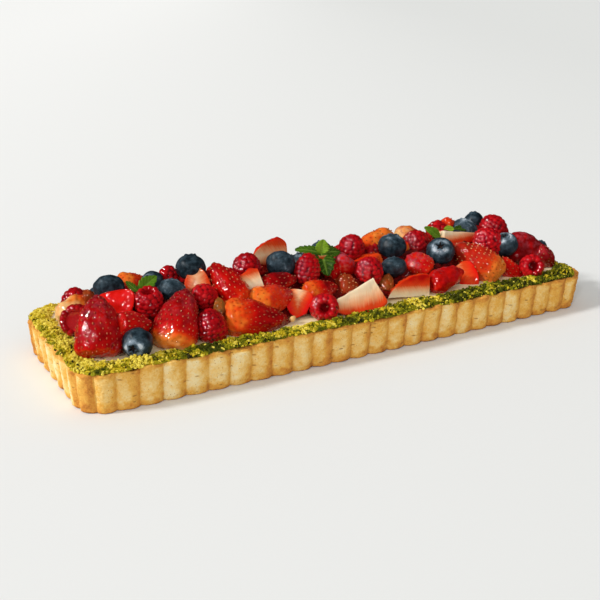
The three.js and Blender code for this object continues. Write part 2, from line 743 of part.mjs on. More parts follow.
// A block over the cream that trims what would sink into it
function aboveCream() {
  const height = 100;
  const box = new THREE.BoxGeometry(CASE_LENGTH + 20, CASE_WIDTH + 20, height);
  box.translate(0, 0, BED_LEVEL + height / 2);
  box.deleteAttribute("normal");
  box.deleteAttribute("uv");
  const merged = mergeVertices(box);
  return solidOf(merged.attributes.position.array, merged.index.array);
}

function boxesMeet(a, b) {
  const one = a.boundingBox();
  const two = b.boundingBox();
  return [0, 1, 2].every((k) => one.min[k] < two.max[k] && two.min[k] < one.max[k]);
}

// Colours and finishes
const finishes = {
  pastry: { color: 0xd9a95f, roughness: 0.85 },
  cream: { color: 0xf1e6cf, roughness: 0.55 },
  nuts: { color: 0xa3a12c, roughness: 0.85 },
  mint: { color: 0x4c8a22, roughness: 0.5 },
  blueberry: { color: 0x27323f, roughness: 0.5 },
  raspberry: { color: 0xb4142a, roughness: 0.3 },
  strawberry: { color: 0xc5200f, roughness: 0.22 },
  mound: { color: 0x7c0d0c, roughness: 0.3 },
};
const finishOfKind = new Map([
  [sprig, "mint"],
  [blueberry, "blueberry"],
  [raspberry, "raspberry"],
  [strawberry, "strawberry"],
]);

const tart = new THREE.Group();

function addNode(name, solid, finish) {
  const material = new THREE.MeshStandardMaterial({ ...finishes[finish], metalness: 0 });
  const mesh = new THREE.Mesh(geometryOf(solid), material);
  mesh.name = name;
  tart.add(mesh);
}

addNode("crust", pastryCase(), "pastry");
addNode("cream_filling", creamFilling(), "cream");

const overCream = aboveCream();
const placed = [];
for (const piece of FRUIT) {
  let solid = piece.kind(piece, 0, false);
  for (const other of placed) {
    if (boxesMeet(solid, other.grown)) {
      solid = solid.subtract(other.grown);
    }
  }
  solid = largestPiece(solid.intersect(overCream));
  addNode(piece.name, solid, finishOfKind.get(piece.kind));
  placed.push({
    grown: piece.kind(piece, GAP, false),
    rough: piece.kind(piece, GAP + ROUGH_GROWTH * (piece.width ?? 0), true),
  });
}

let bed = mound();
for (const piece of [...SMALL_FRUIT, ...backFruit()]) {
  bed = bed.add(piece.kind(piece, 0, true));
}
bed = bed.intersect(overCream);
for (const other of placed) {
  bed = bed.subtract(other.rough);
}
bed = largestPiece(bed);
addNode("fruit_bed", bed, "mound");

let border = pistachioBorder();
for (const other of placed) {
  if (boxesMeet(border, other.grown)) {
    border = border.subtract(other.grown);
  }
}
addNode("pistachio_crumb", largestPiece(border), "nuts");

export default tart;
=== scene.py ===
"""A long fluted mixed berry tart, finished for the camera.

Shapes are worked out in millimetres on whole grids of points: x runs along the tart, y towards its
back and z up, from the middle of its underside. They turn to metres when a mesh is made.
"""
import math
from functools import partial

import bpy
import numpy as np
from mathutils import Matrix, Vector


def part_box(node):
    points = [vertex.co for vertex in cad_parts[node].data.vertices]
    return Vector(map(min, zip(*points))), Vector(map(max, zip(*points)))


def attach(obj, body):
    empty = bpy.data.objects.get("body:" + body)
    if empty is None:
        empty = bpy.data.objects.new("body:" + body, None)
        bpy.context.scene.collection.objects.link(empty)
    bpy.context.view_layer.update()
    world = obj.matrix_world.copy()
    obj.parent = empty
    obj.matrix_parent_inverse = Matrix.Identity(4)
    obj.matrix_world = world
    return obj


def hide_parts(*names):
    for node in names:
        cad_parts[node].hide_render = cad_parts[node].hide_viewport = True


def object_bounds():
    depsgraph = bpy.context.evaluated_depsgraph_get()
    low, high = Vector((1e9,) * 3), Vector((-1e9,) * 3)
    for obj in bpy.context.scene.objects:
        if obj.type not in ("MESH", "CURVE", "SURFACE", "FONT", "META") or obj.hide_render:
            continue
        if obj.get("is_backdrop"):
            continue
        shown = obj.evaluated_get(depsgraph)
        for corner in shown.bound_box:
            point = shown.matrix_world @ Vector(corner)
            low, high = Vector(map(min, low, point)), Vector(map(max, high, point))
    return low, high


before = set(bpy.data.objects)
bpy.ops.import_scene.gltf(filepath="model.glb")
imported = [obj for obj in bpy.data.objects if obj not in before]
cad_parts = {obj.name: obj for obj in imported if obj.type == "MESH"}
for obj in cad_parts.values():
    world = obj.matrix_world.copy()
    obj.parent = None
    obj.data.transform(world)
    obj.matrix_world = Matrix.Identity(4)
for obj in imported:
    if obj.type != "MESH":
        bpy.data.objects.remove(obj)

CAD_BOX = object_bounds()
MM = 0.001
FULL_TURN = 2 * math.pi

# The pastry case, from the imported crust
CRUST_LOW, CRUST_HIGH = (np.array(corner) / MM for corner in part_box("crust"))
TART_MIDDLE = np.array([*(CRUST_LOW + CRUST_HIGH)[:2] / 2, CRUST_LOW[2]])
CASE_LENGTH, _, CASE_HEIGHT = CRUST_HIGH - CRUST_LOW
SIDE_BOW = 1.8
CASE_WIDTH = CRUST_HIGH[1] - CRUST_LOW[1] - 2 * SIDE_BOW
CORNER_RADIUS = 18
FLUTES = 69
POINTS_PER_FLUTE = 16
FLUTE_DEPTH = 2.2
FIRST_VALLEY_X = -154.8
FOOT_INSET = 1.7
TRAY_FLOOR = 4
CREAM_LEVEL = CASE_HEIGHT

STRAIGHT = np.array([CASE_LENGTH, CASE_WIDTH]) - 2 * CORNER_RADIUS
CORNER_ARC = math.pi / 2 * CORNER_RADIUS
LEGS = np.array([STRAIGHT[0], CORNER_ARC, STRAIGHT[1], CORNER_ARC] * 2)
PERIMETER = LEGS.sum()

# Border of chopped pistachio: insets of its outer and of its inner edge at places along x
CRUMB_OUTER = ([-175, 158, 170], [1.3, 1.3, 4.6])
CRUMB_REACH = ([-175, -150, -143, -60, 0, 30, 175], [15.5, 15.5, 12, 12, 12.5, 15.5, 15.5])
CRUMB_RISE = 2.2
CRUMB_BACK_REACH = 12

# Clumps and patches along the front border: x, radius, change of shade and extra height
CRUMB_PATCHES = [
    (-163, 7, -0.28, 0), (-141, 8, 0.28, 0.9), (-114, 9, -0.12, 0), (-100, 10, -0.55, 0),
    (-42, 13, 0.16, 0), (-5, 25, -0.14, 0.1), (35, 8, 0.36, 0.7), (58, 8, -0.35, 0),
    (74, 2.5, 0.4, 0.2), (82, 2.5, 0.35, 0.2), (94, 3, 0.5, 0.3), (127, 4, 0.45, 0.3),
    (140, 3, 0.3, 0.1), (156, 3.5, 0.45, 0.2),
]

# Chips of each sort: how many, the smallest and largest size, and the random seed
CRUMB_SORTS = {"crumb_meal": (9500, 0.9, 1.5, 31), "crumb_bits": (3200, 1.5, 2.3, 32)}

# Share of a strawberry's length where it is widest. Its seeds: steps along the fruit and round it,
# half of length, width and height, and the reach and depth of the dimple at each
WIDEST = 0.25
SEED_STEP, SEED_SPACING = 2.9, 3.3
SEED_HALVES = np.array([0.64, 0.4, 0.34])
DIMPLE_REACH, DIMPLE_DEPTH = 0.95, 0.3

# Raspberry drupelets: radius, steps along the fruit and round it, and how far the smooth cone under
# them lies inside the fruit at its ends and at its sides
DRUPELET_RADIUS, DRUPELET_STEP, DRUPELET_SPACING = 1.9, 2.6, 3.0
CONE_INSET_ENDS, CONE_INSET_SIDES = 1.4, 1.6

# Where a cut face looks, and where the side of a round fruit looks that is turned away
TO_CAMERA = (-0.44, -0.81, 0.38)
TO_BACK = (0.31, 0.95, 0.05)

# How far the camera's view is turned from straight back, in degrees
CAMERA_YAW = 28.487


# Numbers and small forms

def tart_random(seed):
    """The tart layout's own random numbers: state times 1664525 plus 1013904223, modulo 2^32."""
    state = seed
    while True:
        state = (state * 1664525 + 1013904223) % 4294967296
        yield state / 4294967296


def unit(vector):
    """The vector, or each row of vectors, at length one."""
    vector = np.asarray(vector, float)
    return vector / np.maximum(np.linalg.norm(vector, axis=-1, keepdims=True), 1e-9)


def smooth(low, high, value):
    """0 below low, 1 above high, and an S-shaped rise between them."""
    share = np.clip((value - low) / (high - low), 0, 1)
    return share * share * (3 - 2 * share)


def bell(value, spread):
    """1 at zero, falling as exp(-(value / spread)^2)."""
    return np.exp(-(value / spread) ** 2)


def round_turn(count):
    """Angles of points evenly round a ring."""
    return np.arange(count) / count * FULL_TURN


def lumps(points, size, seed):
    """Smooth random bumps of about unit height: a sum of 16 plane waves whose lengths lie round size
    (mm), with random directions and phases."""
    rng = np.random.default_rng(seed)
    waves = 16
    ways = unit(rng.normal(size=(waves, 3))) * (FULL_TURN / size * rng.uniform(0.7, 1.4, (waves, 1)))
    phases = rng.uniform(0, FULL_TURN, waves)
    return np.sin(points @ ways.T + phases).sum(-1) / math.sqrt(waves / 2)


def ring_normals(rings):
    """Outward normals of a stack of closed rings: the cross product of the steps along and round it."""
    round_step = np.roll(rings, -1, 1) - np.roll(rings, 1, 1)
    normals = unit(np.cross(np.gradient(rings, axis=0), round_step))
    away = rings - rings.mean(1, keepdims=True)
    return normals if (normals * away).sum() > 0 else -normals


def shell(rings, **traits):
    """A closed skin over a stack of closed rings (rows x columns x 3): quads between one ring and the
    next, and a fan to the middle of the first and last ring. Traits are given point by point."""
    rows, columns = rings.shape[:2]
    index = np.arange(rows * columns).reshape(rows, columns)
    beside = np.roll(index, -1, 1)
    quads = np.stack([index[:-1], beside[:-1], beside[1:], index[1:]], -1).reshape(-1, 4)
    first = np.full(columns, rows * columns)
    fans = [np.stack([first, beside[0], index[0]], -1), np.stack([index[-1], beside[-1], first + 1], -1)]
    points = np.concatenate([rings.reshape(-1, 3), [rings[0].mean(0), rings[-1].mean(0)]])
    kept = {}
    for name, values in traits.items():
        values = np.broadcast_to(values, (rows, columns))
        kept[name] = np.concatenate([values.ravel(), [values[0].mean(), values[-1].mean()]])
    return facing_out({"points": points, "faces": [quads, np.concatenate(fans)], "traits": kept})


def facing_out(form):
    """The form with its faces turned to enclose a positive volume: the sum, over the faces' triangles,
    of the box product of their corners."""
    volume = 0
    for faces in form["faces"]:
        corners = form["points"][faces]
        for k in range(1, faces.shape[1] - 1):
            across = np.cross(corners[:, k], corners[:, k + 1])
            volume += np.einsum("ij,ij->", corners[:, 0], across)
    if volume < 0:
        form["faces"] = [faces[:, ::-1] for faces in form["faces"]]
    return form


def joined(forms):
    """Several forms as one. A trait that a form lacks is 0 on it."""
    names = {name for form in forms for name in form["traits"]}
    counts = [len(form["points"]) for form in forms]
    offsets = np.cumsum([0] + counts)
    return {
        "points": np.concatenate([form["points"] for form in forms]),
        "faces": [faces + offset for form, offset in zip(forms, offsets) for faces in form["faces"]],
        "traits": {
            name: np.concatenate([form["traits"].get(name, np.zeros(n)) for form, n in zip(forms, counts)])
            for name in names
        },
    }


def bead(around, levels):
    """A unit ball as rings at equal steps of latitude, each turned half a step from the last."""
    latitude = (np.arange(1, levels + 1) / (levels + 1) - 0.5)[:, None] * math.pi
    turn = (np.arange(around) + 0.5 * (np.arange(levels)[:, None] % 2)) / around * FULL_TURN
    height = np.broadcast_to(np.sin(latitude), turn.shape)
    form = shell(np.stack([np.cos(latitude) * np.cos(turn), np.cos(latitude) * np.sin(turn), height], -1))
    form["points"][-2:] = [[0, 0, -1], [0, 0, 1]]
    return form


def scattered(form, places, frames, sizes, roughen=0, seed=0, **traits):
    """Copies of a small form: each is stretched by its three sizes along its own three directions
    (frames) and set at its place. roughen moves each corner at random, by that share of its reach."""
    count, corners = len(places), len(form["points"])
    local = np.broadcast_to(form["points"], (count, corners, 3))
    if roughen:
        local = local * np.random.default_rng(seed).uniform(1 - roughen, 1 + roughen, local.shape)
    points = places[:, None] + np.einsum("nvk,nk,nkj->nvj", local, sizes, frames)
    starts = (np.arange(count) * corners)[:, None, None]
    return {
        "points": points.reshape(-1, 3),
        "faces": [(faces + starts).reshape(-1, faces.shape[1]) for faces in form["faces"]],
        "traits": {name: np.repeat(values, corners) for name, values in traits.items()},
    }


def random_frames(count, rng):
    """Random right-handed sets of three directions, from random unit quaternions."""
    w, x, y, z = unit(rng.normal(size=(count, 4))).T
    rows = [
        [1 - 2 * (y * y + z * z), 2 * (x * y - z * w), 2 * (x * z + y * w)],
        [2 * (x * y + z * w), 1 - 2 * (x * x + z * z), 2 * (y * z - x * w)],
        [2 * (x * z - y * w), 2 * (y * z + x * w), 1 - 2 * (x * x + y * y)],
    ]
    return np.moveaxis(np.array(rows), 2, 0)


def make_piece(name, form, material, nodes=(), flat=False):
    """A mesh object from a form in millimetres, riding on the tart. nodes are what it stands for."""
    mesh = bpy.data.meshes.new(name)
    corners = np.concatenate([faces.ravel() for faces in form["faces"]])
    sizes = np.concatenate([np.full(len(faces), faces.shape[1]) for faces in form["faces"]])
    mesh.vertices.add(len(form["points"]))
    mesh.vertices.foreach_set("co", ((form["points"] + TART_MIDDLE) * MM).astype(np.float32).ravel())
    mesh.loops.add(len(corners))
    mesh.loops.foreach_set("vertex_index", corners.astype(np.int32))
    mesh.polygons.add(len(sizes))
    mesh.polygons.foreach_set("loop_start", (np.cumsum(sizes) - sizes).astype(np.int32))
    mesh.polygons.foreach_set("use_smooth", np.full(len(sizes), not flat))
    mesh.update(calc_edges=True)
    for trait, values in form["traits"].items():
        mesh.attributes.new(trait, "FLOAT", "POINT").data.foreach_set("value", values.astype(np.float32))
    mesh.materials.append(material)
    piece = bpy.data.objects.new(name, mesh)
    bpy.context.scene.collection.objects.link(piece)
    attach(piece, "root")
    if nodes:
        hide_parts(*nodes)


# Materials. Each finish adds its nodes and returns what the surface shader's inputs are given.

def colour(code):
    """A linear colour from an sRGB hex value."""
    parts = [int(code[k:k + 2], 16) / 255 for k in (0, 2, 4)]
    return (*(c / 12.92 if c <= 0.04045 else ((c + 0.055) / 1.055) ** 2.4 for c in parts), 1)


def per(size):
    """Noise scale for a pattern of this size in mm."""
    return 1 / (size * MM)


def feed(tree, node, feeds):
    """Gives inputs of a node a value, the output that feeds them, or a point trait of the piece by its
    name."""
    for key, value in feeds.items():
        if isinstance(value, str):
            value = add(tree, "Attribute", output="Fac", attribute_name=value)
        if isinstance(value, bpy.types.NodeSocket):
            tree.links.new(value, node.inputs[key])
        else:
            node.inputs[key].default_value = value


def add(tree, kind, feeds=None, output=0, **settings):
    """Adds one shader node and returns one of its outputs. feeds are what its inputs are given,
    settings are its own values, and stops those of a colour ramp."""
    made = tree.nodes.new("ShaderNode" + kind)
    for key, value in settings.items():
        if key == "stops":
            ramp = made.color_ramp.elements
            while len(ramp) < len(value):
                ramp.new(1)
            for element, (place, shade) in zip(ramp, value.items()):
                element.position = place
                element.color = colour(shade)
        else:
            setattr(made, key, value)
    feed(tree, made, feeds or {})
    return made.outputs[output]


def material_of(finish):
    """A material with the finish's name. The finish is given the place on the piece."""
    material = bpy.data.materials.new(finish.__name__)
    material.use_nodes = True
    tree = material.node_tree
    place = add(tree, "TexCoord", output="Object")
    feed(tree, tree.nodes["Principled BSDF"], finish(partial(add, tree), place))
    return material


def cell_spots(add, at, size, reach, share):
    """A mask of small spots: one in each cell of this size in mm, out to reach of the cell, in this
    share of the cells, with ragged edges."""
    cell = add("TexVoronoi", {"Vector": at, "Scale": per(size)}).node.outputs
    ragged = add("TexNoise", {"Vector": at, "Scale": per(size / 4), "Detail": 2})
    edge = add("Math", {0: ragged, 1: 0.2, 2: cell["Distance"]}, operation="MULTIPLY_ADD")
    spot = add("MapRange", {"Value": edge, "From Min": reach + 0.1, "From Max": reach, "To Max": 0.75})
    chance = add("SeparateColor", {0: cell["Color"]})
    chosen = add("Math", {0: chance, 1: share}, operation="LESS_THAN")
    return add("Math", {0: spot, 1: chosen}, operation="MULTIPLY")


# Shortcrust, pressed into a fluted tin and baked: dry, pale in the middle of each flute and brown
# where it is thin, with flecks of flour and butter and fine cracks. bake also darkens
# one side of each flute, partly bake and partly painted shade of the side turned from the light.
def baked_shortcrust(add, at):
    blotch = add("TexNoise", {"Vector": at, "Scale": per(6), "Detail": 5})
    grain = add("TexNoise", {"Vector": at, "Scale": per(1.1), "Detail": 5})
    level = add("Math", {0: blotch, 1: 0.55, 2: "bake"}, operation="MULTIPLY_ADD")
    level = add("Math", {0: grain, 1: 0.35, 2: level}, operation="MULTIPLY_ADD")
    baked = add("ValToRGB", {"Fac": level}, stops={
        0.30: "eed9a4", 0.44: "ebc77e", 0.60: "e0ab4e", 0.78: "cf8c3a", 0.92: "ae6c2e", 1.0: "7a4418"})
    fleck = cell_spots(add, at, size=1.6, reach=0.2, share=0.7)
    flattened = add("Mapping", {"Vector": at, "Scale": (1, 1, 3)})
    crack = cell_spots(add, flattened, size=7, reach=0.22, share=0.35)
    skin = add("Mix", {0: fleck, 6: baked, 7: colour("a4682c")}, 2, data_type="RGBA")
    skin = add("Mix", {0: crack, 6: skin, 7: colour("a87438")}, 2, data_type="RGBA")
    relief = add("Math", {0: crack, 1: -1.2, 2: grain}, operation="MULTIPLY_ADD")
    bump = add("Bump", {"Strength": 0.7, "Distance": 0.5 * MM, "Height": relief})
    return {"Base Color": skin, "Normal": bump, "Roughness": 0.82, "Specular IOR Level": 0.15}


# Pastry cream, spread and set: ivory and satin.
def set_pastry_cream(add, at):
    wave = add("TexNoise", {"Vector": at, "Scale": per(7), "Detail": 3})
    tint = add("ValToRGB", {"Fac": wave}, stops={0.3: "f2dcac", 0.6: "f6e6bc", 0.8: "faeed0"})
    bump = add("Bump", {"Strength": 0.2, "Distance": 0.6 * MM, "Height": wave})
    return {"Base Color": tint, "Normal": bump, "Roughness": 0.4}


# Pistachio, chopped with a knife: yellow-green kernels, darker green edges and purple-brown skin.
# A trait gives each chip its own shade.
def chopped_pistachio(add, at):
    grain = add("TexNoise", {"Vector": at, "Scale": per(0.7), "Detail": 3})
    level = add("Math", {0: grain, 1: 0.3, 2: "shade"}, operation="MULTIPLY_ADD")
    kernel = add("ValToRGB", {"Fac": level}, stops={
        0.12: "2c1c12", 0.22: "2e3206", 0.42: "5e620a", 0.62: "989014", 0.82: "ccb020", 1.0: "e8d454"})
    bump = add("Bump", {"Strength": 0.5, "Distance": 0.3 * MM, "Height": grain})
    return {"Base Color": kernel, "Normal": bump, "Roughness": 0.6, "Specular IOR Level": 0.12}


# Strawberry under set fruit glaze: red skin that pales to orange and cream at the shoulder, tan
# seeds in dimples, and cut flesh that is cream in the middle with pale streaks towards a red rim. A
# dusty pink painted reflection of the sky in the glaze lies in patches over the skin that faces up,
# and a brown stain lies over it in patches.
def glazed_strawberry(add, at):
    mottle = add("TexNoise", {"Vector": at, "Scale": per(3.5), "Detail": 4})
    ripe = add("Math", {0: mottle, 1: 0.22, 2: "ripe"}, operation="MULTIPLY_ADD")
    skin = add("ValToRGB", {"Fac": ripe}, stops={
        0.12: "ecb878", 0.32: "e27a28", 0.52: "d83c0c", 0.74: "c40c04", 0.95: "960205", 1.0: "780205"})
    seed = add("ValToRGB", {"Fac": "ripe"}, stops={
        0.2: "5a300c", 0.42: "9a5a20", 0.62: "e8b878", 1.0: "f0c090"})
    along = add("CombineXYZ", {0: "streak", 1: "depth"})
    fibre = add("Mapping", {"Vector": along, "Scale": (1.1, 0.12, 1)})
    thread = add("TexNoise", {"Vector": fibre, "Scale": 1, "Detail": 3})
    core = add("Math", {0: thread, 1: 0.3, 2: "core"}, operation="MULTIPLY_ADD")
    flesh = add("ValToRGB", {"Fac": core}, stops={
        0.2: "f2dfbe", 0.5: "f0cca2", 0.78: "ea9a68", 1.0: "de4a1c"})
    rim = add("MapRange", {"Value": core, "From Min": 1.0, "From Max": 1.35})
    flesh = add("Mix", {0: rim, 6: flesh, 7: colour("e0140a")}, 2, data_type="RGBA")
    patch = add("TexNoise", {"Vector": at, "Scale": per(2.4), "Detail": 3})
    # Painted reflection of the sky in the glaze: dusty pink patches, as strong as film says
    veil = add("MapRange", {"Value": patch, "From Min": 0.42, "From Max": 0.62, "To Max": 0.7})
    veil = add("Math", {0: veil, 1: "film"}, operation="MULTIPLY")
    stain = add("MapRange", {"Value": patch, "From Min": 0.3, "From Max": 0.55, "To Min": 0.6})
    stain = add("Math", {0: stain, 1: "dull"}, operation="MULTIPLY")
    layers = [("cut", flesh), (veil, colour("a8404a")), (stain, colour("7c4a1a")), ("pip", seed)]
    body = skin
    for cover, shade in layers:
        body = add("Mix", {0: cover, 6: body, 7: shade}, 2, data_type="RGBA")
    wet = add("TexNoise", {"Vector": at, "Scale": per(2.6), "Detail": 0})
    bump = add("Bump", {"Strength": 1, "Distance": 0.9 * MM, "Height": wet})
    return {
        "Base Color": body, "Roughness": 0.45, "Specular IOR Level": 0.05,
        "Coat Normal": bump, "Coat Weight": 0.85, "Coat Roughness": 0.03, "Coat IOR": 1.6,
        "Subsurface Weight": 0.1, "Subsurface Radius": (0.004, 0.0015, 0.001),
    }


# Raspberry under a thin glaze: crimson drupelets with dark joints between them.
def glazed_raspberry(add, at):
    mottle = add("TexNoise", {"Vector": at, "Scale": per(1.5), "Detail": 2})
    level = add("Math", {0: mottle, 1: 0.3, 2: "tone"}, operation="MULTIPLY_ADD")
    skin = add("ValToRGB", {"Fac": level}, stops={
        0.1: "680208", 0.45: "9c040c", 0.75: "be0c14", 1.0: "d6282c"})
    jointed = add("Mix", {0: "joint", 6: skin, 7: colour("4a0410")}, 2, data_type="RGBA")
    return {
        "Base Color": jointed, "Roughness": 0.4, "Specular IOR Level": 0.05,
        "Coat Weight": 1.0, "Coat Roughness": 0.06, "Coat IOR": 1.7,
        "Subsurface Weight": 0.05, "Subsurface Radius": (0.003, 0.0006, 0.0006),
    }


# Blueberry: dark slate skin under a pale waxy bloom that has rubbed off in places, and a dry brown
# crown.
def bloomed_blueberry(add, at):
    rub = add("TexNoise", {"Vector": at, "Scale": per(4), "Detail": 7, "Roughness": 0.72})
    level = add("Math", {0: rub, 1: 1.2, 2: "bloom"}, operation="MULTIPLY_ADD")
    skin = add("ValToRGB", {"Fac": level}, stops={
        0.3: "0a1013", 0.48: "14222a", 0.7: "33454f", 0.92: "7c8b96", 1.0: "b4bec5"})
    crowned = add("Mix", {0: "crown", 6: skin, 7: colour("2a1a14")}, 2, data_type="RGBA")
    rough = add("MapRange", {
        "Value": level, "From Min": 0.4, "From Max": 0.9, "To Min": 0.38, "To Max": 0.65})
    bump = add("Bump", {"Strength": 0.2, "Distance": 0.4 * MM, "Height": rub})
    return {"Base Color": crowned, "Normal": bump, "Roughness": rough, "Specular IOR Level": 0.25}


# Mint leaf: fresh green with lighter veins and a soft sheen, puckered between the veins.
def mint_leaf(add, at):
    mottle = add("TexNoise", {"Vector": at, "Scale": per(2.5), "Detail": 3})
    level = add("Math", {0: mottle, 1: 0.35, 2: "light"}, operation="MULTIPLY_ADD")
    blade = add("ValToRGB", {"Fac": level}, stops={
        0.15: "183006", 0.45: "2e4c08", 0.75: "527a10", 1.0: "8caa2a"})
    veined = add("Mix", {0: "vein", 6: blade, 7: colour("86a63e")}, 2, data_type="RGBA")
    return {
        "Base Color": veined, "Roughness": 0.42, "Specular IOR Level": 0.15,
        "Subsurface Weight": 0.1, "Subsurface Radius": (0.0006, 0.001, 0.0003),
    }


# Fruit glaze with juice, set between the pieces: deep red-brown jelly, wet and uneven.
def set_fruit_glaze(add, at):
    pool = add("TexNoise", {"Vector": at, "Scale": per(6), "Detail": 4})
    tint = add("ValToRGB", {"Fac": pool}, stops={
        0.3: "3c0506", 0.55: "6d0a0a", 0.72: "8c2210", 0.85: "8a4a1c"})
    bump = add("Bump", {"Strength": 0.5, "Distance": 0.8 * MM, "Height": pool})
    return {
        "Base Color": tint, "Normal": bump, "Roughness": 0.25, "Coat Weight": 1.0, "Coat Roughness": 0.06,
    }


# Matt paper under the tart, with a painted falloff of light: paler towards the window on the left and
# greyer on the right.
def studio_paper(add, at):
    yaw = math.radians(CAMERA_YAW)
    rightwards = (math.cos(yaw), -math.sin(yaw), 0)
    aside = add("VectorMath", {0: at, 1: rightwards}, 1, operation="DOT_PRODUCT")
    share = add("MapRange", {"Value": aside, "From Min": -0.8, "From Max": 0.8},
                interpolation_type="SMOOTHSTEP")
    # Painted light: the paper's colour falls off from the left to the right
    tint = add("ValToRGB", {"Fac": share}, stops={0: "eeeeec", 1: "d9dad8"})
    return {"Base Color": tint, "Roughness": 0.7, "Specular IOR Level": 0}


# Pastry case, cream and nut border

def round_the_case(count):
    """Distances of points evenly along the case's outline."""
    return np.arange(count) / count * PERIMETER


def outline(distance, inset):
    """Points on the case's outline drawn in by inset: a rectangle with round corners whose long sides
    bow out as 1 - (x / half length)^2, walked counter-clockwise from the first front valley."""
    s = (distance + FIRST_VALLEY_X + STRAIGHT[0] / 2) % PERIMETER
    ends = np.cumsum(LEGS)
    leg = np.minimum(np.searchsorted(ends, s), len(LEGS) - 1)
    s = s - (ends - LEGS)[leg]
    straight = leg % 2 == 0
    angle = (leg // 2 - 1) * math.pi / 2 + np.where(straight, 0, s / CORNER_RADIUS)
    back = np.where(straight, LEGS[leg] - s, 0)
    half = STRAIGHT / 2
    corner = np.array([[1, -1], [1, 1], [-1, 1], [-1, -1]])[leg // 2] * half
    normal = np.stack([np.cos(angle), np.sin(angle)], -1)
    tangent = np.stack([normal[..., 1], -normal[..., 0]], -1)
    points = corner + (CORNER_RADIUS - inset)[..., None] * normal + back[..., None] * tangent
    share = np.minimum(1, np.abs(points[..., 0]) / half[0])
    points[..., 1] += np.sign(points[..., 1]) * SIDE_BOW * (1 - share ** 2)
    return points


def ring_stack(distance, inset, height):
    """Points of the outline at these distances, insets and heights, all of one shape."""
    distance, inset, height = np.broadcast_arrays(distance, inset, height)
    return np.concatenate([outline(distance, inset.astype(float)), height[..., None]], -1)


def pastry_case():
    """The case as rings from the middle of its base, up the fluted wall, over the rim and down into
    the tray. A flute is a low hump between two valleys, which sink as |w|^2.2, with w from -1 to 1
    across it."""
    distance = round_the_case(FLUTES * POINTS_PER_FLUTE)
    phase = distance * FLUTES / PERIMETER % 1
    flute = np.abs(2 * phase - 1)
    middle = 26
    # inset, height and share of the flute at each stage of the section, and the rows between stages
    stages = np.array([
        [middle, 0, 0], [FOOT_INSET + 5, 0, 0.6], [FOOT_INSET + 1.4, 0, 1], [FOOT_INSET + 0.4, 0.25, 1],
        [FOOT_INSET, 1.0, 1], [0.1, CASE_HEIGHT - 2.6, 1], [0.05, CASE_HEIGHT - 1.1, 1],
        [0.5, CASE_HEIGHT - 0.3, 1], [1.4, CASE_HEIGHT, 0.95], [4.2, CASE_HEIGHT - 0.1, 0.4],
        [6.3, CASE_HEIGHT - 0.3, 0], [6.8, CASE_HEIGHT - 1.2, 0], [7.6, TRAY_FLOOR + 2, 0],
        [8.5, TRAY_FLOOR, 0], [middle, TRAY_FLOOR, 0],
    ])
    rows_between = [2, 2, 2, 3, 26, 3, 2, 2, 4, 3, 2, 2, 1, 1]
    steps = [start + np.arange(count) / count for start, count in enumerate(rows_between)]
    along = np.concatenate([*steps, [len(stages) - 1]])
    inset, height, fluted = (
        np.interp(along, np.arange(len(stages)), column)[:, None] for column in stages.T)
    rings = ring_stack(distance, inset + FLUTE_DEPTH * flute ** 2.2 * fluted, height)
    outside = smooth(2, 4, along)[:, None] * (1 - smooth(10, 11, along))[:, None]
    normals = ring_normals(rings)
    crumble = 0.16 * lumps(rings, 9, 1) + 0.09 * lumps(rings, 2.8, 2) + 0.05 * lumps(rings, 1.3, 3)
    rings = rings + normals * (crumble * outside)[..., None]
    upper = smooth(CASE_HEIGHT - 4, CASE_HEIGHT - 0.5, height) * outside
    rings[..., 2] -= 0.45 * upper * (1 + lumps(rings * [1, 1, 0], 14, 4))
    rings[..., 2] = np.clip(rings[..., 2], 0, CASE_HEIGHT)
    return shell(rings, bake=how_baked(rings, height, phase, flute))


def how_baked(rings, height, phase, flute):
    """How brown the case is: more in the valleys, towards the rim, the foot and the corners, and a
    little more to the right, with each flute its own shade. One side of each flute is browner too,
    partly from the bake and partly as painted shade of the side turned from the light."""
    x, y = rings[..., 0], rings[..., 1]
    own = np.random.default_rng(15).uniform(-0.08, 0.08, FLUTES).repeat(POINTS_PER_FLUTE)
    # Middle term: one side of each flute browner, part bake and part painted shade
    bake = own + 0.26 * smooth(0.35, 0.95, phase) * smooth(1.0, 0.97, phase) + 0.09 * bell(1 - flute, 0.09)
    rim_reach = np.clip(4.5 + 2.5 * lumps(rings * [1, 1, 0], 13, 14), 2, 8)
    bake = bake + 0.24 * smooth(CASE_HEIGHT - rim_reach, CASE_HEIGHT - 0.5, height)
    bake = bake + 0.2 * smooth(7, 1.5, height + 1.2 * lumps(rings, 5, 16)) + 0.25 * smooth(0.8, 0, height)
    corner = smooth(CASE_LENGTH / 2 - 18, CASE_LENGTH / 2 - 10, np.abs(x))
    bake = bake + 0.2 * corner * (np.abs(y) > STRAIGHT[1] / 2) - 0.05 * (x < -CASE_LENGTH / 2 + 6)
    bake = bake + 0.07 * smooth(-150, -50, x) + 0.03 * smooth(0, 150, x) + 0.04 * lumps(rings, 22, 5)
    return np.minimum(bake - 0.06, 0.34 + 0.2 * smooth(1.5, 0, height))


def cream():
    """The cream in its tray, as rings from the middle of its underside out to the tray's wall, up it
    and in over the top, which is flat with low swells."""
    inset = np.array([26, 9.5, 8.3, 7.9, 7.5, 7.3, 8.0, 12, 20, 26, 32, 38, 44])[:, None]
    height = np.array([4.4, 4.4, 5, 12, 20, 22, 22.9] + [CREAM_LEVEL] * 6)[:, None]
    rings = ring_stack(round_the_case(360), inset, height)
    top = smooth(5, 8, np.arange(len(inset)))[:, None]
    rings[..., 2] += top * (0.3 + 0.25 * lumps(rings, 15, 6))
    return shell(rings)


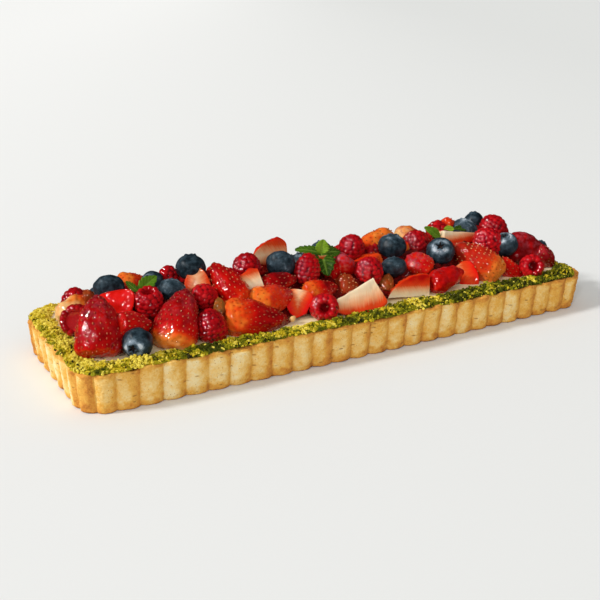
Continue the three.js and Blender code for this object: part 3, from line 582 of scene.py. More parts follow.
def crumb_height(distance, share):
    """Height of the crumb bed above the rim at a share of its width, which is taken as 11 mm from 2 mm
    in: a low dome, the root of 4 s (1 - s), with lumps and the clumps of CRUMB_PATCHES."""
    points = ring_stack(distance, 2 + 11 * share, 0 * share)
    dome = np.clip(4 * share * (1 - share), 0, 1) ** 0.5
    clump = sum(rise * bell(points[..., 0] - x, size) for x, size, _, rise in CRUMB_PATCHES)
    clump = clump * (points[..., 1] < 0)
    return CRUMB_RISE * dome * (0.62 + clump + 0.22 * lumps(points, 9, 7) + 0.12 * lumps(points, 4, 8))


def crumb_edges(distance):
    """Insets of the crumb's outer and inner edge, with the way they stray."""
    points = ring_stack(distance, 0 * distance, 0 * distance)
    outer, inner = (np.interp(points[..., 0], *edge) for edge in (CRUMB_OUTER, CRUMB_REACH))
    inner = inner + (CRUMB_BACK_REACH - inner) * smooth(0, 30, points[..., 1])
    return outer + 0.5 * lumps(points, 7, 9), inner + 1.0 * lumps(points, 8, 10)


def crumb_tone(points):
    """Shade of the crumb along the tart: yellower on its left end, darker towards the right."""
    x = points[..., 0]
    return 0.51 + 0.24 * smooth(-105, -150, x) - 0.28 * smooth(50, 70, x) + 0.05 * smooth(110, 150, x)


def crumb_base():
    """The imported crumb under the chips: a band whose section is a low dome, closed on itself."""
    columns, rows = 900, 12
    distance = round_the_case(columns)[None]
    share = np.concatenate([np.linspace(0, 1, rows - 2), [0.8, 0.2]])[:, None] + 0 * distance
    outer, inner = crumb_edges(distance)
    height = CASE_HEIGHT - 0.3 + 0.75 * crumb_height(distance, share)
    height[-2:] = CASE_HEIGHT - 1
    rings = ring_stack(distance, outer * (1 - share) + inner * share, height)
    index = np.arange(rows * columns).reshape(rows, columns)
    below, beside = np.roll(index, -1, 0), np.roll(index, -1, 1)
    quads = np.stack([index, beside, np.roll(below, -1, 1), below], -1).reshape(-1, 4)
    # Set darker than the chips on it, as painted shade where the band shows in the gaps between them
    shade = crumb_tone(rings) - 0.2 + 0.06 * lumps(rings, 5, 11)
    return facing_out({"points": rings.reshape(-1, 3), "faces": [quads], "traits": {"shade": shade.ravel()}})


def crumb_shade(points, rng):
    """Shade of each chip: yellower on the left end and in a few clumps, greener and darker towards the
    right and in a few patches, and now and then a dark bit of skin."""
    shade = crumb_tone(points) + 0.1 * lumps(points, 16, 12) + 0.12 * lumps(points, 4, 13)
    for x, size, change, _ in CRUMB_PATCHES:
        near = np.hypot(points[:, 0] - x, (points[:, 1] + CASE_WIDTH / 2 - 5) * 0.8)
        shade = shade + change * smooth(size, size * 0.3, near)
    shade = shade + 0.1 * rng.normal(size=len(points))
    dark = rng.random(len(points))
    return np.where(dark < 0.04, 0.02, np.where(dark > 0.96, 0.85, np.clip(shade, 0.14, 0.95)))


def crumb_chips(count, smallest, largest, seed):
    """Chips strewn over the crumb band: jagged beads at random places, more of them along the middle,
    lying on the band's dome."""
    rng = np.random.default_rng(seed)
    distance = rng.uniform(0, PERIMETER, count)
    share = np.clip(rng.beta(1.15, 1.15, count) * 1.08 - 0.04, -0.04, 1.04)
    outer, inner = crumb_edges(distance)
    size = rng.uniform(smallest, largest, (count, 1)) * rng.uniform(0.4, 1.4, (count, 3))
    lift = crumb_height(distance, np.clip(share, 0, 1)) * rng.uniform(0.75, 1.1, count)
    places = ring_stack(distance, outer * (1 - share) + inner * share, CASE_HEIGHT + 0.1 + lift)
    frames = random_frames(count, rng)
    return scattered(bead(5, 2), places, frames, size / 2, 0.25, seed, shade=crumb_shade(places, rng))


# Berries

def axes_of(axis, face, out=None):
    """Three directions for a fruit: along its axis, to its side, and away from the face. The side is
    square to axis and face, or turned towards out."""
    along = unit(axis)
    side = np.cross(along, face) if out is None else np.asarray(out, float)
    side = unit(side - along * (side @ along))
    away = np.cross(along, side)
    return along, side, -away if np.dot(away, face) > 0 else away


def carried(at, axes, along, x, y):
    """Points of a fruit, in mm along its three directions from its place."""
    for axis, length in zip(axes, np.broadcast_arrays(along, x, y)):
        at = at + axis * length[..., None]
    return at


def section(sector, columns):
    """A fruit's section as a closed loop round the unit circle: the whole circle, or a sector of it
    closed by its two cut faces, with its corners eased and its points shared out by length. Returns
    x, y and how much of it is cut face."""
    if sector == 360:
        turn = round_turn(columns)
        return np.cos(turn), np.sin(turn), np.zeros(columns)
    reach = math.radians(sector)
    around = int(columns * reach / (reach + 2))
    turn = np.linspace(0, reach, around, endpoint=False)
    share = np.linspace(0, 1, columns - around, endpoint=False)
    end = np.array([math.cos(reach), math.sin(reach)])
    way_in = np.clip(1 - 2 * share, 0, 1)[:, None] * end
    way_out = np.clip(2 * share - 1, 0, 1)[:, None] * [1, 0]
    loop = np.concatenate([np.stack([np.cos(turn), np.sin(turn)], -1), way_in + way_out])
    cut = np.concatenate([np.zeros(around), np.ones(columns - around)])
    for _ in range(2):
        loop = (np.roll(loop, 1, 0) + 2 * loop + np.roll(loop, -1, 0)) / 4
        cut = (np.roll(cut, 1) + 6 * cut + np.roll(cut, -1)) / 8
    return loop[:, 0], loop[:, 1], cut


# A strawberry's looks where its row says nothing else. sector is how much of the round is left, face
# and out where its cut face and side look, and trim the shares of its length where its ends are cut.
# ripe is its ripeness at shoulder, middle and tip, and shoulder how far that reaches. rind, edge,
# blush and blush_tip redden the cut flesh, which ends at skin_from. film, from
# film_from on, is a painted reflection of the sky on the skin that faces up, and dull a
# brown stain on the skin. pips is how pale the seeds are, and a bare one has none.
PLAIN_STRAWBERRY = dict(
    sector=360, face=TO_CAMERA, out=None, trim=(-1, 2), ripe=(0.7, 0.7, 0.75), shoulder=0.15,
    rind=1, edge=0, blush=0, blush_tip=0, skin_from=9, film=0, film_from=0.25, dull=0, pips=0.32,
    bare=False,
)

# A raspberry's looks: how light its drupelets and its hollow are, how wide the hollow's mouth, and
# how far the hollow is filled. A blueberry's: its bloom, and how much more of it lies round the crown
PLAIN_RASPBERRY = dict(tone=0.37, hollow=0.25, mouth=1, filled=0)
PLAIN_BLUEBERRY = dict(bloom=-0.02, halo=0.2)


def strawberry_meridian(latitude):
    """Share of length and of half-width at each latitude, from the stalk end (-90 degrees) to the
    tip. The widest place is a quarter along; the width falls as cos^0.62 behind it and as cos^1.44
    ahead of it, and the stalk end is dished."""
    lift, reach = np.sin(latitude), np.maximum(np.cos(latitude), 0)
    width = np.where(lift > 0, reach ** 1.44, reach ** 0.62)
    along = WIDEST + lift * np.where(lift > 0, 1 - WIDEST, WIDEST)
    return along + np.where(lift < 0, 0.07 * bell(width, 0.3), 0), width


def strawberry(base, tip, width, looks, seed, rows=64, columns=84):
    """A strawberry from base to tip, whole or cut lengthways to a half or a quarter. Round the axis the
    half-width swells by low waves; the skin dips by a bell at each seed, and seeds lie on a lattice of
    staggered rings about 3 mm apart."""
    rng = np.random.default_rng(seed)
    looks = {**PLAIN_STRAWBERRY, **looks}
    base, tip = np.asarray(base, float), np.asarray(tip, float)
    axes = axes_of(tip - base, looks["face"], looks["out"])
    length, half, sector = np.linalg.norm(tip - base), width / 2, looks["sector"]
    waves = rng.uniform(0, FULL_TURN, 3)

    def surface(share, reach, x, y):
        """The skin at shares of length and half-width, at x and y of the section. A whole fruit swells
        by waves of two and of three round its axis."""
        turn = np.arctan2(y, x)
        swell = 1 + 0.035 * np.cos(2 * turn + waves[0]) + 0.025 * np.cos(3 * turn + waves[1] + 2 * share)
        reach = reach * half * (swell if sector == 360 else 1)
        return carried(base, axes, share * length, reach * x, reach * y)

    latitude = np.linspace(-math.pi / 2, math.pi / 2, rows + 2)[1:-1, None]
    meridian = strawberry_meridian(latitude)
    share, reach, x, y, cut = np.broadcast_arrays(*meridian, *section(sector, columns))
    first, last = looks["trim"]
    cut = np.maximum(cut, (share < first) | (share > last))
    share = np.clip(share, first, last)
    rings = surface(share, reach, x, y)
    normals = ring_normals(rings)

    seed_share, seed_turn = seed_lattice(length, half, sector, rng)
    kept = (seed_share > first + 0.03) & (seed_share < last - 0.03)
    seed_share, seed_turn = seed_share[kept], seed_turn[kept]
    _, seed_reach = strawberry_meridian(np.interp(seed_share, meridian[0][:, 0], latitude[:, 0]))
    spots = surface(seed_share, seed_reach, np.cos(seed_turn), np.sin(seed_turn))
    grid = rings.reshape(-1, 3)
    gap = (grid ** 2).sum(-1)[:, None] + (spots ** 2).sum(-1) - 2 * grid @ spots.T
    nearest = np.sqrt(np.maximum(gap.min(1), 0)).reshape(reach.shape)
    dimple = bell(nearest, DIMPLE_REACH) * (1 - cut) * (not looks["bare"])
    facets = 0.3 * lumps(rings, 9, seed + 1) + 0.12 * lumps(rings, 3.5, seed + 2)
    facets = facets * (1 - 0.55 * cut) * smooth(0, 0.25, reach)
    rings = rings + normals * (facets - DIMPLE_DEPTH * dimple)[..., None]

    # Each seed's dimple is painted a little darker red: painted shade in the hollow
    ripe = ripeness(looks, share) + 0.035 * lumps(rings, 7, seed + 3) + 0.03 * dimple
    distance, skin_from, film_from = reach * np.hypot(x, y), looks["skin_from"], looks["film_from"]
    ripe = ripe + 0.7 * cut * np.maximum(distance - skin_from, 0)
    cut = cut * smooth(skin_from + 0.07, skin_from - 0.07, distance)
    core = (distance + (np.hypot(x, y) - distance) * looks["edge"]) * looks["rind"]
    core = core + looks["blush"] + looks["blush_tip"] * share
    # film: a painted reflection of the sky in the glaze, only on the skin that faces up
    film = smooth(film_from, film_from + 0.35, share + 0.1 * lumps(rings, 8, seed + 4))
    film = looks["film"] * film * smooth(-0.1, 0.7, normals[..., 2]) * (1 - 0.8 * cut)
    depth = distance * half
    body = shell(
        rings, ripe=ripe, cut=cut, core=core, film=film, dull=looks["dull"],
        streak=share * length - 0.6 * depth, depth=depth)
    if looks["bare"]:
        return body

    ahead = surface(seed_share + 0.02, seed_reach, np.cos(seed_turn), np.sin(seed_turn))
    outwards = unit(spots - (base + axes[0] * (seed_share * length)[:, None]))
    forward = unit(ahead - spots)
    frames = np.stack([forward, unit(np.cross(outwards, forward)), outwards], 1)
    sizes = SEED_HALVES * rng.uniform(0.85, 1.15, (len(spots), 1))
    pale = looks["pips"] * rng.uniform(0.4, 1.2, len(spots))
    places = spots - outwards * 0.1
    return joined([
        body, scattered(bead(6, 2), places, frames, sizes, ripe=ripeness(looks, seed_share), pip=pale)])


def seed_lattice(length, half, sector, rng):
    """Places of the seeds: rings at even steps along the fruit, each with as many seeds as fit at
    their spacing round it, turned half a step from the last ring. Returns share of length and angle."""
    shares, turns = [], []
    margin = 0 if sector == 360 else 0.08
    reach = math.radians(sector)
    for ring, place_along in enumerate(np.arange(0.09 * length, 0.97 * length, SEED_STEP)):
        share = place_along / length
        side_length = 1 - WIDEST if share > WIDEST else WIDEST
        latitude = np.arcsin(np.clip((share - WIDEST) / side_length, -1, 1))
        radius = half * strawberry_meridian(np.array([latitude]))[1][0]
        count = int(FULL_TURN * radius / SEED_SPACING)
        turn = (np.arange(count) + 0.5 * (ring % 2)) / max(count, 1) * FULL_TURN + 0.1 * ring
        turn = (turn + rng.normal(0, 0.04, count)) % FULL_TURN
        turn = turn[(turn > margin) & (turn < reach - margin)] if sector < 360 else turn
        shares.append(np.full(len(turn), share) + rng.normal(0, 0.004, len(turn)))
        turns.append(turn)
    return np.concatenate(shares), np.concatenate(turns)


def ripeness(looks, share):
    """Ripeness of the skin along the fruit, from its shoulder over its middle to its tip."""
    low, middle, tip = looks["ripe"]
    ripe = low + (middle - low) * smooth(looks["shoulder"] - 0.16, looks["shoulder"] + 0.16, share)
    return ripe + (tip - middle) * smooth(0.55, 1, share)


def raspberry_meridian(steps, mouth, filled):
    """Share of half-length and half-width from the bottom of the hollow, over its lip and the
    shoulders to the tip, evenly spaced along the curve. mouth widens the hollow and filled raises its
    bottom towards the lip."""
    along = np.array([0.1, 0.02, -0.35, -0.8, -0.97, -0.98, -0.75, -0.35, 0.05, 0.4, 0.72, 0.93, 1.0])
    reach = np.array([0.0, 0.2, 0.3, 0.37, 0.5, 0.7, 0.94, 1.02, 1.0, 0.87, 0.62, 0.32, 0.0])
    reach[:4] *= mouth
    reach[4:7] += (mouth - 1) * np.array([0.38, 0.28, 0.08])
    along[:4] += (-0.8 - along[:4]) * filled
    fine = np.linspace(0, len(along) - 1, 400)
    curve = np.stack([np.interp(fine, np.arange(len(along)), values) for values in (along, reach)], -1)
    for _ in range(60):
        curve[1:-1] = (curve[:-2] + 2 * curve[1:-1] + curve[2:]) / 4
    walked = np.concatenate([[0], np.cumsum(np.linalg.norm(np.diff(curve, axis=0), axis=1))])
    even = np.linspace(0, walked[-1], steps)
    return np.interp(even, walked, curve[:, 0]), np.interp(even, walked, curve[:, 1])


def raspberry(at, width, height, axis, looks, seed, rows=88, columns=104):
    """A hollow raspberry: a blunt cone of drupelets. Its skin rises from a smaller smooth cone by the
    height of the nearest drupelet's ball, sqrt(radius^2 - distance^2), and the hollow stays smooth."""
    rng = np.random.default_rng(seed)
    looks = {**PLAIN_RASPBERRY, **looks}
    axes = axes_of(axis, TO_BACK)
    half, radius = height / 2 - CONE_INSET_ENDS, width / 2 - CONE_INSET_SIDES
    share, reach = raspberry_meridian(rows + 2, looks["mouth"], looks["filled"])

    def cone(s, r, turn):
        """The smooth cone at shares of half-length and half-width, a little wider on one side."""
        r = r * (1 + 0.05 * np.cos(turn + seed)) * radius
        return carried(at, axes, s * half, r * np.cos(turn), r * np.sin(turn))

    rings = cone(share[1:-1, None], reach[1:-1, None], round_turn(columns))
    normals = ring_normals(rings)
    lip = np.argmin(share)
    walked = np.concatenate([[0], np.cumsum(np.hypot(np.diff(share) * half, np.diff(reach) * radius))])
    places = []
    for ring, walk in enumerate(np.arange(walked[lip] + 0.4, walked[-1] - 0.4, DRUPELET_STEP)):
        ring_share, ring_reach = np.interp(walk, walked, share), np.interp(walk, walked, reach)
        count = max(1, round(FULL_TURN * (ring_reach * radius + 0.5) / DRUPELET_SPACING))
        angle = (np.arange(count) + 0.5 * (ring % 2)) / count * FULL_TURN + rng.normal(0, 0.07, count)
        places.append(cone(ring_share, ring_reach, angle))
    places = np.concatenate([*places, cone(1.0, 0.0, np.array([0.0]))])
    balls = DRUPELET_RADIUS * rng.uniform(0.92, 1.08, len(places))
    rise = balls ** 2 - ((rings.reshape(-1, 1, 3) - places) ** 2).sum(-1)
    height_up = np.sqrt(np.maximum(rise.max(1), 0.05)).reshape(rings.shape[:2])
    outside = smooth(lip - 8, lip + 1, np.arange(1, rows + 1))[:, None]
    rings = rings + normals * (height_up * outside)[..., None]
    tones = rng.normal(looks["tone"], 0.09, len(places))
    tone = tones[rise.argmax(1)].reshape(height_up.shape)
    tone = tone * outside + looks["hollow"] * (1 - outside)
    return shell(rings, tone=tone, joint=smooth(1.5, 0.9, height_up) * 0.75 * outside)


def blueberry(at, width, height, axis, looks, seed, rows=56, columns=64):
    """A blueberry: a flattened ball with low dents. Round its crown a ring rises and falls in five
    lobes, as a bell round r = 0.31 times a wave of five, and the middle sinks in a star."""
    rng = np.random.default_rng(seed)
    looks = {**PLAIN_BLUEBERRY, **looks}
    latitude = np.linspace(-math.pi / 2, math.pi / 2, rows + 2)[1:-1, None]
    latitude = latitude + 0.12 * np.sin(2 * latitude)
    latitude, turn = np.broadcast_arrays(latitude, round_turn(columns))
    reach, top = np.cos(latitude), latitude > 0
    wave = np.cos(5 * turn + rng.uniform(0, 6))
    star = 0.12 + 0.2 * (0.5 + 0.5 * wave) ** 3
    ring = np.where(top, bell(reach - 0.31 - 0.05 * wave, 0.065) * (0.65 + 0.35 * wave), 0)
    dish = np.where(top, smooth(star + 0.06, 0.08, reach), 0)
    lift = np.sin(latitude) + 0.13 * ring - 0.24 * dish + 0.05 * np.where(top, 0, bell(reach, 0.2))
    out = reach * width / 2
    axes = axes_of(axis, TO_BACK)
    rings = carried(at, axes, lift * height / 2, out * np.cos(turn), out * np.sin(turn))
    dents = 0.16 * lumps(rings, 7, seed + 1) * smooth(0.3, 0.6, reach)
    rings = rings + ring_normals(rings) * dents[..., None]
    halo = np.where(top, bell(reach - 0.5, 0.22), 0) * (0.75 + 0.25 * lumps(rings, 6, seed + 2))
    bloom = looks["bloom"] + looks["halo"] * halo
    return shell(rings, bloom=bloom, crown=np.where(top, smooth(star + 0.03, star - 0.03, reach), 0))


def mint_blade(base, tip, width, up, curl, light, steps=44, across=22):
    """A mint blade as rings across it, top face then under face. Its half-width is
    sin(pi u^0.85)^0.8 with a saw tooth for each side vein; the blade folds up from its midrib, dips
    along it and along the slanting side veins, and waves at its edge."""
    veins = 6
    base, tip = np.asarray(base, float), np.asarray(tip, float)
    length, along = np.linalg.norm(tip - base), unit(tip - base)
    up = unit(np.asarray(up, float) - along * np.dot(up, along))
    side = np.cross(up, along)
    u = (np.arange(steps) + 0.5)[:, None] / steps
    v = np.linspace(-1, 1, across)
    v = np.concatenate([v, v[::-1]])[None]
    top = np.concatenate([np.ones(across), -np.ones(across)])[None]
    teeth = 1 + 0.26 * (u * veins % 1 - 0.5) * smooth(0.04, 0.2, u) * smooth(1, 0.9, u)
    half = width / 2 * (0.1 + 0.9 * np.sin(math.pi * u ** 0.85) ** 0.8) * teeth
    groove = bell(v, 0.09)
    ribs = np.abs(np.sin(math.pi * veins * (u - 0.28 * np.abs(v))))
    pucker = 0.3 * ribs ** 0.5 * (1 - groove) * smooth(1, 0.8, np.abs(v)) * smooth(0, 0.15, u)
    wave = 0.35 * width / 8 * np.abs(v) * np.sin(9 * u + 2 * np.sign(v) + width)
    lift = curl * np.sin(math.pi * u) + half * 0.3 * np.abs(v) + pucker - 0.3 * groove + wave
    lift = lift + top * 0.22 * smooth(1.02, 0.9, np.abs(v))
    rings = carried(base, (along, side, up), u * length, half * v, lift)
    vein = np.maximum(0.7 * groove, 0.35 * (ribs < 0.2)) * (top > 0)
    return shell(rings, light=light + 0.12 * (top < 0), vein=vein)


def glaze_bed():
    """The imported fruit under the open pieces: a lumpy mound on a round-cornered foot, as rings that
    shrink by 0.8 h^1.8 as they rise."""
    half_length, half_width, height, taper, middle_y = 158, 35, 15, 24, 3
    level = np.concatenate([[-0.12, -0.06], np.linspace(0, 1, 26)])[:, None]
    shrink = 0.8 * np.maximum(level, 0) ** 1.8
    turn = round_turn(400)
    x, y = (np.sign(wave) * np.abs(wave) ** 0.5 for wave in (np.cos(turn), np.sin(turn)))
    rings = np.stack(np.broadcast_arrays(
        x * (half_length - taper * shrink), y * half_width * (1 - shrink) + middle_y,
        CREAM_LEVEL + 0.9 + height * level), -1)
    swells = 1.1 * lumps(rings, 11, 21) + 0.4 * lumps(rings, 5, 22)
    return shell(rings + ring_normals(rings) * (swells * smooth(0, 0.2, level))[..., None])


# The open fruit by its number, as the solids lie. A strawberry's row has its base, tip, width and
# looks, a raspberry's or blueberry's its middle, width, height, axis and looks, and a leaf's its base,
# tip, width, upper side, curl and lightness. A row's place in its table gives its random seed, so a
# new row goes last.

STRAWBERRIES = {
    2: ([-155.5, -33, 22], [-150.5, -17, 52], 26, dict(ripe=(0.72, 0.78, 0.86), film=0.5, pips=0.2)),
    7: ([-118.5, -38, 19.5], [-99, -18, 47], 25, dict(
        ripe=(0.17, 0.78, 0.9), shoulder=0.22, film=0.4, pips=0.25)),
    10: ([-85.5, -33, 32], [-43, -36.5, 22.5], 23, dict(ripe=(0.34, 0.78, 0.98), shoulder=0.3, pips=0.25)),
    19: ([18, -35, 41.5], [-22.5, -41, 30], 36, dict(
        sector=90, face=(-0.4, -0.9, 0.3), out=(0.3, -0.56, -0.77), trim=(0.12, 1),
        ripe=(0.3, 0.5, 0.55), blush=-0.02, blush_tip=0.3, edge=0.7)),
    20: ([57, -40.5, 22.5], [23.5, -38, 26], 28, dict(
        sector=90, face=(-0.3, -0.95, 0.2), out=(0.1, 0.2, 1), trim=(0.12, 1),
        ripe=(0.42, 0.46, 0.5), rind=1.7, skin_from=0.62)),
    3: ([-137.5, -7, 49], [-138, -15, 33.5], 21, dict(
        sector=180, face=(-0.4, -0.8, 0.3), ripe=(0.6, 0.7, 0.8), blush=1.5)),
    4: ([-145.5, -30, 37], [-124.5, -28, 34], 15, dict(ripe=(0.66, 0.7, 0.75), film=0.35)),
    9: ([-66, -22, 31], [-77, -4, 54], 19.5, dict(ripe=(0.45, 0.7, 0.8), shoulder=0.25)),
    6: ([-88, -9, 39], [-87, -3, 53], 16, dict(
        sector=180, face=(-0.4, -0.85, 0.35), ripe=(0.5, 0.5, 0.5), rind=0.5, blush=0.5)),
    11: ([-48.5, -17, 43], [-71, -16, 39.5], 19, dict(
        sector=180, face=(-0.5, -0.75, 0.4), trim=(0.12, 0.72), ripe=(0.5, 0.7, 0.7), blush=0.12)),
    12: ([-17.5, 13, 48.5], [-43.5, 9, 49], 17.5, dict(
        sector=180, face=(-0.7, -0.6, 0.1), ripe=(0.66, 0.6, 0.5), rind=0.6, blush=0.62, blush_tip=-0.3)),
    15: ([-32, -27, 38], [-40, -37, 25], 17, dict(
        sector=180, face=(-0.4, -0.8, 0.5), ripe=(0.6, 0.7, 0.75), rind=0.8, blush=0.32, blush_tip=0.7,
        film=0.8, film_from=-1)),
    14: ([-63.5, -27, 33.5], [-34.5, -24, 35.5], 18, dict(
        ripe=(0.28, 0.5, 0.8), shoulder=0.3, film=0.5, pips=0.3)),
    29: ([56, -36, 28], [84, -34, 33], 15, dict(ripe=(0.7, 0.74, 0.78), film=0.2, bare=True)),
    30: ([86, -26, 34.5], [92, -39, 20.5], 16, dict(
        sector=180, face=(-0.5, -0.7, 0.5), ripe=(0.66, 0.7, 0.74), rind=0.45, blush=0.72, blush_tip=0.25)),
    28: ([114, -35, 23.5], [92, -12, 43], 24, dict(
        ripe=(0.22, 0.62, 0.78), shoulder=0.3, film=0.2, dull=0.18, pips=0.7)),
    31: ([117.5, -27, 31], [130.5, -39, 22], 13, dict(ripe=(0.6, 0.68, 0.72))),
    32: ([137.5, -14, 39], [165.5, -31, 19.5], 23, dict(
        ripe=(0.84, 0.9, 0.94), film=0.75, film_from=-1, bare=True)),
    33: ([150, -26, 33], [163, -34, 24], 16, dict(ripe=(0.82, 0.88, 0.92), film=0.5, film_from=-1)),
    24: ([65, -22, 30], [54, -14, 42], 18, dict(ripe=(0.5, 0.6, 0.66), film=1.0)),
    16: ([-27, -22, 31], [-2, -22, 32], 16, dict(ripe=(0.36, 0.8, 0.88), shoulder=0.4)),
    21: ([62, 14, 45], [33, 12, 43], 17, dict(ripe=(0.16, 0.26, 0.4), pips=0.8)),
    26: ([88.5, -2, 50.5], [130, -2, 42.5], 17, dict(
        sector=90, face=(-0.3, -0.9, 0.3), out=(0.1, -0.3, -0.9), trim=(0.1, 1),
        ripe=(0.3, 0.55, 0.66), blush=-0.15, blush_tip=1.0)),
    1: ([-163.5, 10, 29], [-143, 16, 39], 17.5, dict(ripe=(0.02, 0.2, 0.6), shoulder=0.45, bare=True)),
}
RASPBERRIES = {
    9: ([-23, -39, 29], 16.6, 15, [0.4, 0.85, -0.3], dict(tone=0.52, hollow=0.3)),
    16: ([136, -39, 28.5], 15.6, 15, [0.44, 0.81, -0.38], dict(tone=0.52, hollow=0.2, mouth=1.25)),
    6: ([-93.5, -37, 30.5], 16.6, 18.5, [-0.1, 0.3, 0.9], dict(tone=0.32)),
    5: ([-89, -17, 39.5], 15.6, 16, [-0.5, -0.4, 0.6], dict(tone=0.54)),
    3: ([-120, -14, 39.5], 15.6, 19, [0.1, 0.2, -0.95], dict(tone=0.42)),
    11: ([21, -20, 39], 17, 17.4, [-0.1, -0.3, 0.9], dict(tone=0.47)),
    8: ([-18, -12, 44], 15.4, 18, [0.2, 0.1, 0.95], dict(tone=0.42)),
    7: ([-53, -1, 48], 16.8, 15.4, [-0.2, -0.2, 0.9], dict(tone=0.34)),
    10: ([25, 5, 47], 16.6, 15, [0, -0.1, 0.95], dict(tone=0.4)),
    12: ([74, 3, 42.5], 18, 16, [-0.4, -0.5, 0.7], dict(tone=0.32)),
    14: ([119, -14, 41.5], 19.5, 20, [-0.5, -0.1, 0.8], dict(tone=0.5)),
    15: ([142, 5, 45], 19, 14, [0.4, -0.2, 0.8], dict(tone=0.42)),
    13: ([100, 14, 45], 15.4, 13, [0.1, 0.1, 0.9], dict(tone=0.37)),
    2: ([-156, 4, 31], 18, 14, [0.45, 0.8, -0.3], dict(tone=0.32, hollow=0.95, mouth=1.85, filled=0.75)),
    1: ([-150.5, 24, 35], 15, 15, [0.2, 0.3, 0.9], dict(tone=0.32)),
}
BLUEBERRIES = {
    1: ([-137.5, -40, 30], 16.5, 16, [-0.66, -0.75, 0], dict(bloom=-0.08, halo=0.5)),
    2: ([-136.5, 4, 46.5], 17.4, 13.6, [0.3, 0.8, 0.5], dict(bloom=-0.04)),
    3: ([-109.5, 8, 44], 14, 12.5, [-0.6, -0.4, 0.6], dict(bloom=-0.02)),
    4: ([-104, -8, 43.5], 16.6, 12.2, [0.4, 0.5, 0.8], dict(bloom=0.06)),
    5: ([-87, 4, 51], 17.4, 14.8, [0.1, 0.3, 0.95], dict(bloom=-0.08)),
    6: ([-32.5, -5, 47], 17.6, 14, [0.5, 0.7, 0.4], dict(bloom=0)),
    8: ([51, -2, 45], 18.4, 15.4, [0.15, 0.1, 0.95], dict(bloom=-0.07, halo=0.3)),
    9: ([38, -22, 39], 16.4, 11.6, [0.2, 0.6, 0.7], dict(bloom=0)),
    10: ([80, -15, 41], 18, 17.5, [-0.52, -0.56, 0.64], dict(bloom=-0.04, halo=0.4)),
    11: ([118, 8, 45], 18, 13.5, [0.3, 0.2, 0.9], dict(bloom=0.08, halo=0.3)),
    12: ([137, 20, 45.5], 13, 12, [0.1, 0.4, 0.9], dict(bloom=-0.08)),
    13: ([130.5, -20, 39.5], 16.5, 15.5, [-0.4, -0.16, 0.9], dict(bloom=-0.02, halo=0.45)),
    14: ([166.5, -15, 30], 12, 11.5, [0.6, 0.2, 0.7], dict(bloom=-0.02)),
}
MINT_LEAVES = {
    "mint_sprig_middle": [
        ([-5, -6, 49.5], [-19.5, 1, 52], 8, [0, -0.5, 1], 1, 0.35),
        ([-5, -6, 49.5], [-3.5, -6, 58.5], 8.5, [-0.4, -0.9, 0.2], 0, 0.7),
        ([-5, -6, 49.5], [8, -7, 49], 8, [-0.3, -0.7, 0.7], 1, 0.3),
        ([-5, -6, 49.5], [-8, -19, 39.5], 13, [-0.3, -0.7, 0.6], 1.5, 0.2),
    ],
    "mint_sprig_left": [
        ([-124, -8, 46], [-111, -3, 51.5], 8, [-0.4, -0.75, 0.5], 0.5, 0.5),
        ([-124, -8, 46], [-129, -3, 51.5], 4, [-0.4, -0.8, 0.3], 0, 0.35),
    ],
    "mint_leaf_right_1": [([91.5, 0, 44.5], [79, 2, 53], 6.5, [-0.4, -0.7, 0.6], 0.5, 0.6)],
    "mint_leaf_right_2": [
        ([105, 3, 48], [120, 3, 45.5], 5, [-0.1, -0.6, 0.9], 0.5, 0.2),
        ([105, 3, 48], [96.5, 3, 49], 4.5, [-0.2, -0.6, 0.8], 0, 0.8),
    ],
}

# Fruit of the bed that shows between the open pieces. The last four rows of strawberries are bits: a
# crumb of nut, a stalk end, a brown lump and a pale sliver.
BED_FRUIT = {
    "strawberry": [
        ([-2, -20, 34], [13, -22, 28], 15, dict(ripe=(0.75, 0.75, 0.8), dull=0.5, pips=0.8)),
        ([3, -8, 44], [17, -12, 36], 15, dict(ripe=(0.62, 0.7, 0.8), film=2, film_from=-1, bare=True)),
        ([-127.5, 14, 43.5], [-108.5, 14, 42.5], 14, dict(ripe=(0.3, 0.5, 0.6), shoulder=0.4)),
        ([-50, -13, 37], [-26, -14, 40], 14, dict(ripe=(0.8, 0.85, 0.9))),
        ([0, -8, 43], [3, -14, 31], 15, dict(ripe=(0.7, 0.75, 0.8))),
        ([71, 20, 42], [91, 20, 42], 14, dict(
            ripe=(0.05, 0.15, 0.25), film=0.8, film_from=-1, bare=True)),
        ([41, -5, 37.5], [20, -3, 37.5], 12, dict(ripe=(0.35, 0.45, 0.55))),
        ([27, -30, 27], [33, -24, 36], 9, dict(ripe=(0.5, 0.5, 0.55), dull=0.9, pips=0.8)),
        ([104.5, 14, 47.5], [115, 14, 48.5], 10, dict(ripe=(0.5, 0.5, 0.55))),
        ([-132, 3, 43], [-122, 3, 43], 10, dict(ripe=(0.66, 0.7, 0.75))),
        ([-148.5, 12, 40], [-142, 8, 42], 9, dict(ripe=(0.7, 0.75, 0.8), dull=0.7)),
        ([-46, -40.5, 25.5], [-42.6, -40, 27.4], 2.8, dict(ripe=(0, 0, 0.05), bare=True)),
        ([-76.5, -3, 51], [-74.5, -3, 53.5], 3.5, dict(ripe=(0.3, 0.3, 0.3), dull=1, bare=True)),
        ([-85, -31, 33], [-84, -27, 42], 7, dict(ripe=(0.24, 0.26, 0.28), dull=1, pips=0.6)),
        ([-9, -10, 50], [3, -10, 48.5], 7, dict(sector=90, out=(0, -0.3, -1), blush=0.55, dull=0.5)),
    ],
    "raspberry": [([-97, 14, 44], 13, 12.5, [0.1, 0, 0.95], {}), ([-75, 5, 40], 13, 13, [0, 0, 1], {})],
    "blueberry": [([4, 8, 46], 14, 13, [0.2, 0.2, 0.9], {}), ([-11, 9, 40.5], 13, 12, [0, 0, 1], {})],
}

